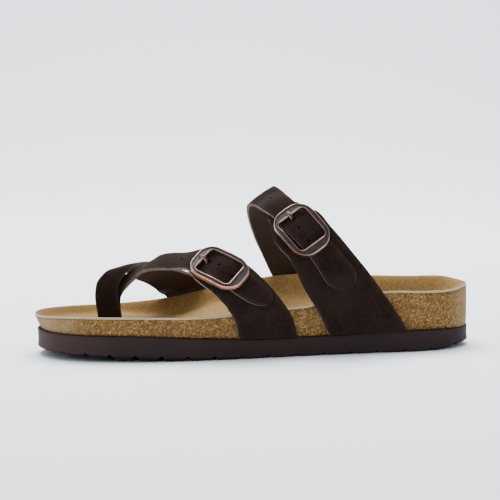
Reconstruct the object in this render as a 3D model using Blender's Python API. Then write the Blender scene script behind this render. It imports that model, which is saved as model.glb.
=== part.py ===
"""A left cork footbed sandal: foam outsole, cork body, suede insole, suede straps and two buckles.

The toe points to -X, the heel to +X, the lateral side (with the buckles) to -Y and the medial side
to +Y. The flat underside of the sole lies on Z = 0, and the origin is at half length on the midline.

Every strap lies on a band: a surface through rows of two points, its front and its rear edge. A
quarter is the lower layer of a band, and the tongue strap is the upper layer of the same band.
"""
from math import acos, cos, pi, sin, sqrt

import bmesh
import bpy
from mathutils import Vector

MM = 0.001

# Overall sizes
LENGTH = 256 * MM          # outsole, from toe to heel
BALL = 94 * MM             # outsole, across the ball
INSTEP = 96.4 * MM         # floor to the crest of the rear strap
HEEL_RIM = 36 * MM         # underside to the rim at the heel, the bed's height scale
SOLE = 11.3 * MM           # outsole at its thinnest, below the arch
TOE_SPRING = 4.2 * MM      # rise of the underside at the toe tip

# Walls and steps
GAP = 0.3 * MM             # clearance between neighbouring pieces
CORK_STEP = 2.2 * MM       # outsole edge to the foot of the cork side
LINER = 1.2 * MM           # suede skin of the insole
QUARTER = 2.2 * MM         # leather of the two quarters
STRAP = 2.0 * MM           # leather of the straps
EDGE_ROUND = 2.6 * MM      # width of the rounding under the outsole
HEEL_BEVEL = 2.4 * MM      # rise of the underside at the heel tip

# Tread
TREAD_PITCH = 15.4 * MM
TREAD_WIDTH = 4.2 * MM
TREAD_DEPTH = 1.3 * MM
TREAD_WAVE = 2.6 * MM
TREAD_WAVELENGTH = 38 * MM

# Buckle, the same twice
BUCKLE_LENGTH = 34.5 * MM
BUCKLE_WIDTH = 26.5 * MM
END_RAIL = 4.8 * MM
SIDE_RAIL = 3.5 * MM
RING_HEIGHT = 2.8 * MM
RING_SHIFT = 0.4 * MM      # ring off the strap's middle, towards its front edge
BAR = 1.4 * MM             # diameter of the hidden cross bar
PRONG_WIDTH = 1.9 * MM
PRONG_WALL = 0.75 * MM

# Outline: share of length from the toe, half widths as shares of half the ball width
OUTLINE = (
    # along, medial, lateral
    (0.000, 0.16, 0.16),
    (0.025, 0.64, -0.38),
    (0.090, 0.94, -0.74),
    (0.200, 1.00, -0.945),
    (0.330, 0.97, -1.00),
    (0.460, 0.78, -0.94),
    (0.610, 0.66, -0.825),
    (0.770, 0.69, -0.745),
    (0.900, 0.64, -0.69),
    (0.972, 0.42, -0.44),
    (1.000, -0.02, -0.02),
)

# Outsole thickness as shares of SOLE
SOLE_TOP = (
    # along, thickness
    (0.00, 1.00),
    (0.23, 1.22),
    (0.31, 1.19),
    (0.40, 1.10),
    (0.485, 1.00),
    (0.664, 1.00),
    (0.84, 1.10),
    (1.00, 1.04),
)

# Rim of the bed above the underside as shares of HEEL_RIM, and its step in as a share of CORK_STEP
RIM = (
    # along, lateral, medial, step_in
    (0.00, 0.56, 0.56, 0.00),
    (0.06, 0.63, 0.565, 0.40),
    (0.14, 0.667, 0.595, 0.70),
    (0.24, 0.697, 0.66, 0.75),
    (0.33, 0.70, 0.76, 0.75),
    (0.42, 0.717, 0.917, 0.75),
    (0.52, 0.772, 1.064, 0.75),
    (0.61, 0.814, 1.128, 0.75),
    (0.71, 0.917, 1.106, 0.75),
    (0.80, 1.00, 1.067, 0.70),
    (0.89, 0.983, 1.045, 0.58),
    (0.96, 0.965, 1.025, 0.40),
    (1.00, 0.965, 0.965, 0.10),
)

# Floor of the bed as shares of HEEL_RIM, its rise to the medial arch, and the inner wall's width
FLOOR = (
    # along, floor, arch, wall
    (0.00, 0.46, 0.00, 0.22),
    (0.10, 0.45, 0.00, 0.25),
    (0.19, 0.49, 0.00, 0.25),
    (0.26, 0.46, 0.00, 0.25),
    (0.34, 0.48, 0.03, 0.27),
    (0.42, 0.57, 0.12, 0.30),
    (0.54, 0.64, 0.24, 0.36),
    (0.66, 0.65, 0.18, 0.42),
    (0.78, 0.61, 0.06, 0.46),
    (0.90, 0.60, 0.00, 0.46),
    (1.00, 0.62, 0.00, 0.46),
)

# Rings of the bed from the rim to its spine, as shares of the way in
BED_RINGS = (0.0, 0.035, 0.09, 0.16, 0.25, 0.36, 0.55, 0.78, 1.0)
SPINE_TOE = 0.16           # the spine's ends, as shares of length
SPINE_HEEL = 0.87
OUTLINE_STEPS = 32         # stations along each side of the outline

# Bands: shares of LENGTH, BALL and INSTEP, outer face. A height of 0 is the outsole's upper face.
# Hug 1 keeps a row outside the cork's side.
REAR_BAND = (
    # x_front, y_front, z_front, x_rear, y_rear, z_rear, hug
    (0.164, -0.403, 0, 0.345, -0.369, 0, 1),
    (0.145, -0.407, 0.236, 0.318, -0.376, 0.255, 1),
    (0.127, -0.407, 0.322, 0.288, -0.381, 0.374, 1),
    (0.107, -0.404, 0.414, 0.255, -0.372, 0.503, 1),
    (0.090, -0.388, 0.517, 0.222, -0.351, 0.616, 1),
    (0.076, -0.364, 0.595, 0.197, -0.319, 0.703, 1),
    (0.061, -0.330, 0.653, 0.173, -0.282, 0.780, 0),
    (0.047, -0.277, 0.722, 0.150, -0.229, 0.856, 0),
    (0.038, -0.207, 0.801, 0.124, -0.154, 0.908, 0),
    (0.023, -0.128, 0.866, 0.092, -0.085, 0.922, 0),
    (0.011, -0.027, 0.890, 0.073, 0.000, 0.975, 0),
    (-0.004, 0.064, 0.891, 0.058, 0.074, 0.999, 0),
    (-0.006, 0.149, 0.850, 0.059, 0.170, 0.978, 0),
    (0.001, 0.234, 0.764, 0.060, 0.261, 0.905, 0),
    (0.016, 0.298, 0.650, 0.078, 0.330, 0.769, 0),
    (0.034, 0.340, 0.543, 0.118, 0.362, 0.630, 1),
    (0.053, 0.372, 0.430, 0.173, 0.378, 0.485, 1),
    (0.074, 0.372, 0.311, 0.211, 0.367, 0.321, 1),
    (0.102, 0.354, 0, 0.250, 0.346, 0, 1),
)
FRONT_BAND = (
    # x_front, y_front, z_front, x_rear, y_rear, z_rear, hug
    (-0.044, -0.474, 0, 0.091, -0.429, 0, 1),
    (-0.052, -0.481, 0.230, 0.080, -0.436, 0.232, 1),
    (-0.068, -0.484, 0.310, 0.064, -0.441, 0.313, 1),
    (-0.082, -0.479, 0.356, 0.040, -0.431, 0.401, 1),
    (-0.101, -0.463, 0.410, 0.014, -0.404, 0.479, 1),
    (-0.123, -0.426, 0.455, -0.013, -0.356, 0.546, 1),
    (-0.139, -0.383, 0.488, -0.043, -0.298, 0.593, 0),
    (-0.152, -0.335, 0.526, -0.085, -0.234, 0.638, 0),
    (-0.176, -0.277, 0.535, -0.141, -0.165, 0.618, 0),
    (-0.204, -0.202, 0.537, -0.177, -0.085, 0.617, 0),
    (-0.238, -0.112, 0.527, -0.208, 0.000, 0.600, 0),
    (-0.260, -0.048, 0.506, -0.231, 0.059, 0.560, 0),
    (-0.275, 0.016, 0.461, -0.264, 0.101, 0.508, 0),
    (-0.293, 0.048, 0.409, -0.291, 0.122, 0.472, 0),
    (-0.303, 0.068, 0.358, -0.326, 0.117, 0.425, 0),
    (-0.306, 0.064, 0.306, -0.355, 0.079, 0.352, 0),
    (-0.306, 0.060, 0.249, -0.358, 0.060, 0.270, 0),
    (-0.306, 0.060, 0, -0.358, 0.060, 0, 0),
)
TOE_BAND = (
    # x_front, y_front, z_front, x_rear, y_rear, z_rear, hug
    (-0.360, 0.043, 0, -0.304, 0.043, 0, 0),
    (-0.360, 0.043, 0.229, -0.304, 0.043, 0.228, 0),
    (-0.365, 0.043, 0.323, -0.311, 0.043, 0.301, 0),
    (-0.364, 0.043, 0.385, -0.3125, 0.043, 0.381, 0),
    (-0.357, 0.048, 0.439, -0.309, 0.048, 0.430, 0),
    (-0.336, 0.085, 0.493, -0.300, 0.074, 0.485, 0),
    (-0.316, 0.138, 0.508, -0.270, 0.117, 0.532, 0),
    (-0.300, 0.213, 0.502, -0.234, 0.191, 0.537, 0),
    (-0.273, 0.340, 0.435, -0.174, 0.298, 0.480, 1),
    (-0.240, 0.425, 0.385, -0.138, 0.362, 0.440, 1),
    (-0.206, 0.480, 0.312, -0.093, 0.420, 0.372, 1),
    (-0.177, 0.500, 0.230, -0.055, 0.432, 0.275, 1),
    (-0.154, 0.490, 0, -0.020, 0.415, 0, 1),
)

# Layers: where each piece lies on its band, as shares across the row, and the skew of its ends
REAR_QUARTER_CUT = (
    # row, front, rear, skew
    (0.0, 0.0, 1.0, 0.0),
    (8.35, 0.0, 1.0, 0.0),
)
REAR_STRAP_CUT = (
    # row, front, rear, skew
    (2.40, 0.355, 0.795, 0.30),
    (3.45, 0.340, 0.805, 0.32),
    (4.42, 0.320, 0.825, 0.20),
    (5.50, 0.285, 0.810, 0.17),
    (6.50, 0.250, 0.802, 0.13),
    (7.75, 0.165, 0.830, 0.10),
    (9.00, 0.0, 1.0, 0.0),
    (18.0, 0.0, 1.0, 0.0),
)
FRONT_QUARTER_CUT = (
    # row, front, rear, skew
    (0.0, 0.0, 1.0, 0.0),
    (7.2, 0.0, 1.0, 0.0),
)
FRONT_STRAP_CUT = (
    # row, front, rear, skew
    (1.90, 0.55, 0.945, 0.85),
    (3.40, 0.34, 0.84, 1.10),
    (5.00, 0.21, 0.825, 1.10),
    (6.00, 0.10, 0.850, 0.90),
    (7.00, 0.0, 1.0, 0.35),
    (8.00, 0.0, 1.0, 0.0),
    (17.0, 0.0, 1.0, 0.0),
)
TOE_STRAP_CUT = (
    # row, front, rear, skew
    (0.0, 0.0, 1.0, 0.0),
    (12.0, 0.0, 1.0, 0.0),
)
CROWN = 0.035              # bulge of a band, as a share of its width
REAR_BUCKLE_ROW = 6.25
FRONT_BUCKLE_ROW = 5.05

# Ring section: share of the rail from its outer edge, share of the ring's height
RING_SECTION = (
    # across, height
    (0.04, 0.00),
    (0.00, 0.25),
    (0.03, 0.72),
    (0.16, 1.00),
    (0.30, 0.98),
    (0.37, 0.74),
    (0.70, 0.74),
    (0.77, 0.98),
    (0.92, 0.96),
    (1.00, 0.70),
    (0.98, 0.00),
)

# Colours: red, green, blue, roughness, metallic
FINISH = {
    "foam": (0.050, 0.028, 0.024, 0.75, 0.0),
    "cork": (0.42, 0.25, 0.10, 0.85, 0.0),
    "liner": (0.50, 0.34, 0.17, 0.95, 0.0),
    "suede": (0.045, 0.026, 0.018, 0.95, 0.0),
    "copper": (0.38, 0.20, 0.15, 0.35, 1.0),
}


def clear_scene():
    """Remove whatever the file opened with."""
    for old in list(bpy.data.objects):
        bpy.data.objects.remove(old, do_unlink=True)


def finish(name):
    """One plain surface material, made once."""
    material = bpy.data.materials.get(name)
    if material:
        return material
    red, green, blue, roughness, metallic = FINISH[name]
    material = bpy.data.materials.new(name)
    material.use_nodes = True
    shader = material.node_tree.nodes["Principled BSDF"]
    shader.inputs["Base Color"].default_value = (red, green, blue, 1.0)
    shader.inputs["Roughness"].default_value = roughness
    shader.inputs["Metallic"].default_value = metallic
    return material


def smooth(value):
    """Ease from 0 to 1."""
    value = min(max(value, 0.0), 1.0)
    return value * value * (3 - 2 * value)


def curve(rows, at):
    """Values of a table at one place of its first column, on a smooth curve through its rows."""
    at = min(max(at, rows[0][0]), rows[-1][0])
    k = max(i for i in range(len(rows) - 1) if rows[i][0] <= at)
    before, start, end, after = rows[max(k - 1, 0)], rows[k], rows[k + 1], rows[min(k + 2, len(rows) - 1)]
    span = end[0] - start[0]
    t = (at - start[0]) / span
    values = []
    for i in range(1, len(start)):
        slope_in = (end[i] - before[i]) / (end[0] - before[0]) * span
        slope_out = (after[i] - start[i]) / (after[0] - start[0]) * span
        values.append((2 * t ** 3 - 3 * t ** 2 + 1) * start[i] + (t ** 3 - 2 * t ** 2 + t) * slope_in
                      + (3 * t ** 2 - 2 * t ** 3) * end[i] + (t ** 3 - t ** 2) * slope_out)
    return values


def turn(along):
    """Share of length as an angle, so that a table in it has round ends."""
    return acos(1 - 2 * min(max(along, 0.0), 1.0))


ROUND_OUTLINE = [(turn(along), medial, lateral) for along, medial, lateral in OUTLINE]


def share(x):
    """Share of length at a place."""
    return min(max(x / LENGTH + 0.5, 0.0), 1.0)


def side_y(x, side):
    """Edge of the outsole at x, on the medial side (1) or the lateral side (-1)."""
    medial, lateral = curve(ROUND_OUTLINE, turn(share(x)))
    return (medial if side > 0 else lateral) * BALL / 2


def mid_y(x):
    """Midline of the sole at x."""
    return (side_y(x, 1) + side_y(x, -1)) / 2


def spring(x):
    """Rise of the underside towards the toe."""
    reach = max(0.0, (0.345 - share(x)) / 0.345)
    return TOE_SPRING * reach ** 1.3


def sole_top(x):
    """Height of the outsole's upper face."""
    return spring(x) + curve(SOLE_TOP, share(x))[0] * SOLE


def medial_share(x, y):
    """0 on the lateral side, 1 on the medial side, eased between them."""
    return smooth(0.5 + (y - mid_y(x)) / (0.7 * BALL))


def rim_height(x, y):
    """Height of the bed's rim."""
    lateral, medial, _ = curve(RIM, share(x))
    blend = medial_share(x, y)
    return spring(x) + HEEL_RIM * (lateral * (1 - blend) + medial * blend)


def rim_step(x):
    """Step in of the rim from the outsole's edge."""
    return curve(RIM, share(x))[2] * CORK_STEP


def outline_ring():
    """Points of the outsole's edge with their outward directions, toe, medial side, heel, lateral side."""
    stations = [-LENGTH / 2 * cos(pi * i / OUTLINE_STEPS) for i in range(OUTLINE_STEPS + 1)]
    ring = [Vector((x, side_y(x, 1), 0)) for x in stations]
    ring += [Vector((x, side_y(x, -1), 0)) for x in stations[-2:0:-1]]
    outward = []
    for i, point in enumerate(ring):
        along = ring[(i + 1) % len(ring)] - ring[i - 1]
        outward.append(Vector((-along.y, along.x, 0)).normalized())
    return ring, outward


def spine_point(point):
    """Nearest place of the sole's spine."""
    low = (SPINE_TOE - 0.5) * LENGTH
    high = (SPINE_HEEL - 0.5) * LENGTH
    x = min(max(point.x, low), high)
    return Vector((x, mid_y(x), 0))


def new_object(name, mesh, material=None):
    """Link a mesh to the scene under a name."""
    body = bpy.data.objects.new(name, mesh)
    bpy.context.scene.collection.objects.link(body)
    if material:
        mesh.materials.append(finish(material))
    return body


def solid(name, rings, material=None, wrap=True, caps=False, sharp=35):
    """A closed body through rings of points; rings that meet in one line are merged there."""
    bm = bmesh.new()
    rows = [[bm.verts.new(point) for point in ring] for ring in rings]
    for lower, upper in zip(rows, rows[1:]):
        count = len(lower)
        for i in range(count if wrap else count - 1):
            j = (i + 1) % count
            bm.faces.new((lower[i], lower[j], upper[j], upper[i]))
    if caps:
        bm.faces.new(rows[0])
        bm.faces.new(rows[-1])
    bmesh.ops.remove_doubles(bm, verts=bm.verts, dist=0.00001)
    bmesh.ops.recalc_face_normals(bm, faces=bm.faces)
    bmesh.ops.triangulate(bm, faces=bm.faces)
    mesh = bpy.data.meshes.new(name)
    bm.to_mesh(mesh)
    bm.free()
    mesh.shade_smooth()
    mesh.set_sharp_from_angle(angle=sharp * pi / 180)
    return new_object(name, mesh, material)


def combine(body, other, operation):
    """Add, or take away, a helper body."""
    modifier = body.modifiers.new(other.name, "BOOLEAN")
    modifier.operation = operation
    modifier.object = other
    other.hide_render = True
    other.display_type = "WIRE"


def make_outsole():
    """Outsole with rounded lower edge, toe spring, heel bevel and tread grooves open at the sides."""
    ring, outward = outline_ring()

    def underside(x):
        """Height of the tread at x."""
        return spring(x) + HEEL_BEVEL * smooth((share(x) - 0.89) / 0.11)

    def edge_lift(point):
        """How far the rounding lifts the lower edge."""
        return EDGE_ROUND * (0.3 + 0.4 * smooth((0.55 - share(point.x)) / 0.3))

    def lower(way_in, lift, step):
        points = []
        for point, out in zip(ring, outward):
            place = point - out * step
            place = place.lerp(spine_point(point), way_in)
            place.z = underside(place.x) + edge_lift(point) * lift
            points.append(place)
        return points

    def upper(way_in, drop, step):
        points = []
        for point, out in zip(ring, outward):
            place = (point - out * step).lerp(spine_point(point), way_in)
            place.z = sole_top(place.x) - drop
            points.append(place)
        return points

    top_round = EDGE_ROUND * 0.2
    rings = [lower(1, 0, 0), lower(0.45, 0, 0), lower(0, 0, EDGE_ROUND), lower(0, 0.3, EDGE_ROUND * 0.35),
             lower(0, 1, 0), upper(0, top_round, 0), upper(0, 0, top_round), upper(0.5, 0, 0), upper(1, 0, 0)]
    body = solid("outsole", rings, "foam")

    count = int(LENGTH * 0.95 / TREAD_PITCH)
    bars = bmesh.new()
    reach = BALL * 0.6
    steps = 12
    for k in range(count + 1):
        x = (k - count / 2) * TREAD_PITCH
        top = underside(x) + TREAD_DEPTH
        profile = ((-0.75, -TREAD_DEPTH * 3), (-0.25, 0), (0.25, 0), (0.75, -TREAD_DEPTH * 3))
        rows = []
        for i in range(steps + 1):
            y = reach * (2 * i / steps - 1)
            wave = TREAD_WAVE * sin(2 * pi * y / TREAD_WAVELENGTH)
            rows.append([bars.verts.new((x + wave + across * TREAD_WIDTH, y, top + rise))
                         for across, rise in profile])
        for near, far in zip(rows, rows[1:]):
            for i in range(len(profile)):
                j = (i + 1) % len(profile)
                bars.faces.new((near[i], near[j], far[j], far[i]))
        bars.faces.new(rows[0])
        bars.faces.new(rows[-1])
    bmesh.ops.recalc_face_normals(bars, faces=bars.faces)
    mesh = bpy.data.meshes.new("tread_cutter")
    bars.to_mesh(mesh)
    bars.free()
    combine(body, new_object("tread_cutter", mesh), "DIFFERENCE")
    return body


def bed_surface():
    """Grid of the bed's upper face, ring by ring from the rim, with its normals."""
    ring, outward = outline_ring()
    grid = []
    for way_in in BED_RINGS:
        points = []
        for point, out in zip(ring, outward):
            rim = point - out * rim_step(point.x)
            centre = spine_point(point)
            place = rim.lerp(centre, way_in)
            floor, arch, wall = curve(FLOOR, share(place.x))
            rise = arch * smooth((place.y - mid_y(place.x)) / (BALL * 0.42))
            low = spring(place.x) + HEEL_RIM * (floor + rise)
            inward = (rim - centre).length * way_in / (HEEL_RIM * wall)
            drop = smooth((inward - 0.1) / 0.9)
            place.z = rim_height(point.x, point.y) * (1 - drop) + low * drop
            points.append(place)
        grid.append(points)
    normals = []
    for i, points in enumerate(grid):
        row = []
        for j in range(len(points)):
            if i in (0, len(grid) - 1):
                row.append(Vector((0, 0, 1)))
                continue
            around = points[(j + 1) % len(points)] - points[j - 1]
            normal = around.cross(grid[i + 1][j] - grid[i - 1][j]).normalized()
            row.append(normal if normal.z > 0 else -normal)
        normals.append(row)
    return grid, normals


def bed_layer(depth):
    """The bed's upper face moved down along its normals."""
    grid, normals = bed_surface()
    return [[p - n * depth for p, n in zip(points, row)] for points, row in zip(grid, normals)]


def make_insole():
    """Suede skin over the whole bed, its cut edge flush with the cork's side."""
    return solid("insole", bed_layer(LINER)[::-1] + bed_layer(0), "liner")


def make_cork():
    """Cork body on the outsole, with its side a step in from the outsole's edge."""
    ring, outward = outline_ring()
    foot, waist, flat = [], [], []
    top = bed_layer(LINER + GAP)
    for point, out, rim in zip(ring, outward, top[0]):
        low = point - out * CORK_STEP
        low.z = sole_top(low.x) + GAP
        foot.append(low)
        middle = low.lerp(rim, 0.5) + out * CORK_STEP * 0.12
        waist.append(middle)
        inner = low.lerp(spine_point(point), 0.5)
        inner.z = sole_top(inner.x) + GAP
        flat.append(inner)
    middle_line = []
    for point in ring:
        centre = spine_point(point)
        centre.z = sole_top(centre.x) + GAP
        middle_line.append(centre)
    return solid("cork_footbed", [middle_line, flat, foot, waist] + top, "cork")


def seated(rows):
    """A band's rows with their numbers, and with each height of 0 set on the outsole."""
    numbered = []
    for i, (xf, yf, zf, xr, yr, zr, hug) in enumerate(rows):
        front = zf or (sole_top(xf * LENGTH) + GAP) / INSTEP
        rear = zr or (sole_top(xr * LENGTH) + GAP) / INSTEP
        numbered.append((i, xf, yf, front, xr, yr, rear, hug))
    return numbered


def band_row(rows, row):
    """Front point, rear point and hug of a band at one row."""
    xf, yf, zf, xr, yr, zr, hug = curve(rows, row)
    front = Vector((xf * LENGTH, yf * BALL, zf * INSTEP))
    rear = Vector((xr * LENGTH, yr * BALL, zr * INSTEP))
    return front, rear, hug


def stand_off(point):
    """Least distance from the midplane that clears the cork's side, easing off above the rim."""
    side = -1 if point.y < 0 else 1
    edge = abs(side_y(point.x, side)) - CORK_STEP * 0.6 + QUARTER + GAP
    above = smooth((point.z - rim_height(point.x, side_y(point.x, side)) - 2 * MM) / (HEEL_RIM * 0.4))
    return edge - above * BALL * 0.2


def keep_clear(point, hug):
    """Move a band's point out of the cork and up from the outsole."""
    if hug > 0:
        ease = 0.5 * MM
        far = max(hug, 0) * stand_off(point)
        near = abs(point.y)
        out = (near + far + sqrt((near - far) ** 2 + ease ** 2)) / 2
        point.y = out if point.y > 0 else -out
    point.z = max(point.z, sole_top(point.x) + GAP)
    return point


def band_point(rows, row, across):
    """A point of the band, bulged outwards between its edges and clear of the sole."""
    row = min(max(row, 0), len(rows) - 1)
    front, rear, hug = band_row(rows, row)
    step = 0.02
    ahead = band_row(rows, min(row + step, len(rows) - 1))
    behind = band_row(rows, max(row - step, 0))
    along = (ahead[0] + ahead[1]) - (behind[0] + behind[1])
    outward = (rear - front).cross(along).normalized()
    bulge = 4 * CROWN * (rear - front).length * across * (1 - across)
    return keep_clear(front.lerp(rear, across) + outward * bulge, hug)


def band_normal(rows, row, across):
    """Outward direction of the band."""
    step = 0.03
    last = len(rows) - 1
    along = band_point(rows, min(row + step, last), across) - band_point(rows, max(row - step, 0), across)
    over = band_point(rows, row, across + step) - band_point(rows, row, across - step)
    return over.cross(along).normalized()


def cut_place(cut, row, across):
    """Row and share across of a layer's place."""
    front, rear, skew = curve(cut, row)
    return row + skew * across, front + (rear - front) * across


class Seat:
    """Local frame of a buckle on its band: u along the strap, v across it, n outwards."""

    def __init__(self, rows, cut, row):
        self.rows = rows
        middle = cut_place(cut, row, 0.5)
        edge = cut_place(cut, row, 0.0)
        half_width = (band_point(rows, *middle) - band_point(rows, *edge)).length
        place = cut_place(cut, row, 0.5 - 0.5 * RING_SHIFT / half_width)
        ahead = cut_place(cut, row + 0.5, 0.5)
        behind = cut_place(cut, row - 0.5, 0.5)
        self.start = place
        self.centre = band_point(rows, *place)
        self.n = band_normal(rows, *place)
        along = band_point(rows, *ahead) - band_point(rows, *behind)
        self.u = (along - self.n * along.dot(self.n)).normalized()
        self.v = self.n.cross(self.u)

    def height(self, u, v):
        """Height of the band over the frame's plane, found by stepping along the band."""
        row, across = self.start
        step = 0.02
        for _ in range(8):
            here = band_point(self.rows, row, across) - self.centre
            by_row = band_point(self.rows, row + step, across) - self.centre - here
            by_across = band_point(self.rows, row, across + step) - self.centre - here
            a, b = by_row.dot(self.u) / step, by_across.dot(self.u) / step
            c, d = by_row.dot(self.v) / step, by_across.dot(self.v) / step
            du, dv = u - here.dot(self.u), v - here.dot(self.v)
            det = a * d - b * c
            row += (du * d - b * dv) / det
            across += (a * dv - c * du) / det
        return (band_point(self.rows, row, across) - self.centre).dot(self.n)

    def flat(self, u, v, n):
        """World place of a point of the straight frame."""
        return self.centre + self.u * u + self.v * v + self.n * n

    def bent(self, u, v, n):
        """World place of a point that follows the band's bend along the strap, on its highest line."""
        spread = BUCKLE_WIDTH * 0.27
        rise = max(self.height(u, side) for side in (-spread, 0, spread))
        return self.flat(u, v, n + rise)

    def along(self, point):
        """Distance of a point from the bar, along the strap."""
        return (point - self.centre).dot(self.u)


HOOK_REACH = BAR / 2 + 0.25 * MM + PRONG_WALL / 2      # bar centre to the middle of the prong's hook
BAR_HEIGHT = GAP + BAR / 2                             # bar centre over the quarter
HUMP = BAR_HEIGHT + HOOK_REACH + PRONG_WALL / 2        # rise of the strap over bar and hook
HUMP_REACH = BUCKLE_LENGTH * 0.4                       # half length of that rise
RING_SEAT = STRAP + 2 * GAP + 0.3 * MM                 # underside of the ring over the quarter


def strap_lift(seat, top_row):
    """Height of a tongue strap's outer face over its band."""
    def lift(row, point):
        on_quarter = 1 - smooth((row - top_row) / 1.7)
        away = min(abs(seat.along(point)) / HUMP_REACH, 1.0)
        return on_quarter * (STRAP + GAP) + HUMP * cos(away * pi / 2) ** 2
    return lift


def no_lift(row, point):
    """A layer whose outer face is its band."""
    return 0.0


def stations(cut, steps, round_start=0.0, round_end=0.0):
    """Rows of a layer with the width left at each, for square or rounded ends."""
    first, last = cut[0][0], cut[-1][0]
    angles = [a * pi / 180 for a in (80, 58, 36, 16)]
    rows = []
    if round_start:
        rows += [(first + round_start * (1 - sin(a)), cos(a)) for a in angles]
    low = first + round_start
    high = last - round_end
    rows += [(low + (high - low) * i / steps, 1.0) for i in range(steps + 1)]
    if round_end:
        rows += [(last - round_end * (1 - sin(a)), cos(a)) for a in angles[::-1]]
    return rows


def layer(name, rows, cut, places, across_steps, wall, lift, material="suede"):
    """A leather piece on a band, with its outer face lifted from it and its own wall."""
    sections = []
    for row, width in places:
        outer, inner = [], []
        for k in range(across_steps + 1):
            share_across = 0.5 + (k / across_steps - 0.5) * width
            place = cut_place(cut, row, share_across)
            base = band_point(rows, *place)
            normal = band_normal(rows, *place)
            top = base + normal * lift(place[0], base)
            low = top - normal * wall
            low.z = max(low.z, sole_top(low.x) + GAP)
            outer.append(top)
            inner.append(low)
        sections.append(outer + inner[::-1])
    return solid(name, sections, material, caps=True)


def prong_path():
    """Middle line of a prong from its hook to its tip, along the strap and up."""
    hook = [(-HOOK_REACH * cos(a * pi / 180), BAR_HEIGHT + HOOK_REACH * sin(a * pi / 180))
            for a in (-20, 20, 60, 90, 120, 155)]
    top = RING_SEAT + RING_HEIGHT * 0.74 + GAP + PRONG_WALL / 2
    inner = BUCKLE_LENGTH / 2 - END_RAIL
    under = GAP + PRONG_WALL / 2
    return hook + [(inner * 0.22, under), (inner * 0.67, under), (inner * 0.81, under + 1.0 * MM),
                   (inner * 0.94, top - 0.5 * MM), (inner * 1.03, top), (inner + END_RAIL * 0.55, top)]


def make_prong(name, seat):
    """A flat pin bent round the bar, up through the strap and over the ring's end rail."""
    path = prong_path()
    sections = []
    for i, (u, n) in enumerate(path):
        ahead = path[min(i + 1, len(path) - 1)]
        behind = path[max(i - 1, 0)]
        du, dn = ahead[0] - behind[0], ahead[1] - behind[1]
        size = sqrt(du * du + dn * dn)
        off_u, off_n = -dn / size * PRONG_WALL / 2, du / size * PRONG_WALL / 2
        half = PRONG_WIDTH / 2 * (0.75 if i == len(path) - 1 else 1)
        sections.append([seat.bent(u + off_u, -half, n + off_n), seat.bent(u + off_u, half, n + off_n),
                         seat.bent(u - off_u, half, n - off_n), seat.bent(u - off_u, -half, n - off_n)])
    return solid(name, sections, "copper", caps=True)


def rounded_loop(half_length, half_width, radius):
    """A rounded rectangle, with the same number of points for every size."""
    loop = []
    for corner in range(4):
        sign_u = 1 if corner in (0, 3) else -1
        sign_v = 1 if corner in (0, 1) else -1
        centre_u = sign_u * (half_length - radius)
        centre_v = sign_v * (half_width - radius)
        for k in range(6):
            angle = (corner + k / 5) * pi / 2
            loop.append((centre_u + radius * cos(angle), centre_v + radius * sin(angle)))
    return loop


def box(name, seat, u, v, n, bend=False):
    """A box in a buckle's frame, from three pairs of limits."""
    place = seat.bent if bend else seat.flat
    sections = [[place(u[0], v[i], n[j]) for i, j in ((0, 0), (1, 0), (1, 1), (0, 1))],
                [place(u[1], v[i], n[j]) for i, j in ((0, 0), (1, 0), (1, 1), (0, 1))]]
    return solid(name, sections, caps=True)


def make_buckle(name, seat):
    """A cast ring bent to the strap, with a channel on its face and a cross bar below the strap."""
    outer = rounded_loop(BUCKLE_LENGTH / 2, BUCKLE_WIDTH / 2, BUCKLE_WIDTH * 0.31)
    inner = rounded_loop(BUCKLE_LENGTH / 2 - END_RAIL, BUCKLE_WIDTH / 2 - SIDE_RAIL, BUCKLE_WIDTH * 0.11)
    sections = []
    for (uo, vo), (ui, vi) in zip(outer, inner):
        sections.append([seat.bent(uo + (ui - uo) * a, vo + (vi - vo) * a, RING_SEAT + h * RING_HEIGHT)
                         for a, h in RING_SECTION])
    body = solid(name, sections + [sections[0]], "copper")

    side = BUCKLE_WIDTH / 2 - SIDE_RAIL
    reach = side + SIDE_RAIL * 0.45
    sides = 8
    rings = []
    for end in (-1, 1):
        rings.append([seat.flat(BAR / 2 * cos(2 * pi * k / sides), end * (side + SIDE_RAIL * 0.35),
                                BAR_HEIGHT + BAR / 2 * sin(2 * pi * k / sides)) for k in range(sides)])
    combine(body, solid(name + "_bar_form", rings, caps=True), "UNION")
    for label, sign in (("lateral", -1), ("medial", 1)):
        low = max(seat.height(0, sign * reach) + GAP, BAR_HEIGHT - BAR)
        lug_rings = []
        for half, far, n in ((BAR * 1.1, 0.45, low), (BUCKLE_LENGTH * 0.13, 0.9, RING_SEAT + RING_HEIGHT * 0.3)):
            near, edge = side + SIDE_RAIL * 0.1, side + SIDE_RAIL * far
            lug_rings.append([seat.flat(u, sign * v, n)
                              for u, v in ((-half, near), (half, near), (half, edge), (-half, edge))])
        combine(body, solid(name + "_" + label + "_lug_form", lug_rings, caps=True), "UNION")
    notch = box(name + "_notch_form", seat, (side, BUCKLE_LENGTH / 2 - END_RAIL * 0.5),
                (-PRONG_WIDTH / 2 - GAP, PRONG_WIDTH / 2 + GAP),
                (RING_SEAT + RING_HEIGHT * 0.73, RING_SEAT + RING_HEIGHT * 2), bend=True)
    combine(body, notch, "DIFFERENCE")
    return body


def cut_prong_hole(strap, seat):
    """Oval hole of a strap where its prong comes up."""
    inner = BUCKLE_LENGTH / 2 - END_RAIL
    half_u = inner * 0.20
    half_v = PRONG_WIDTH / 2 + 2 * GAP
    rings = []
    for n in (-0.2 * MM, HUMP + STRAP + 3 * MM):
        rings.append([seat.bent(inner * 0.79 + half_u * cos(k * pi / 5), half_v * sin(k * pi / 5), n)
                      for k in range(10)])
    combine(strap, solid(strap.name + "_hole_form", rings, caps=True), "DIFFERENCE")


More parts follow.
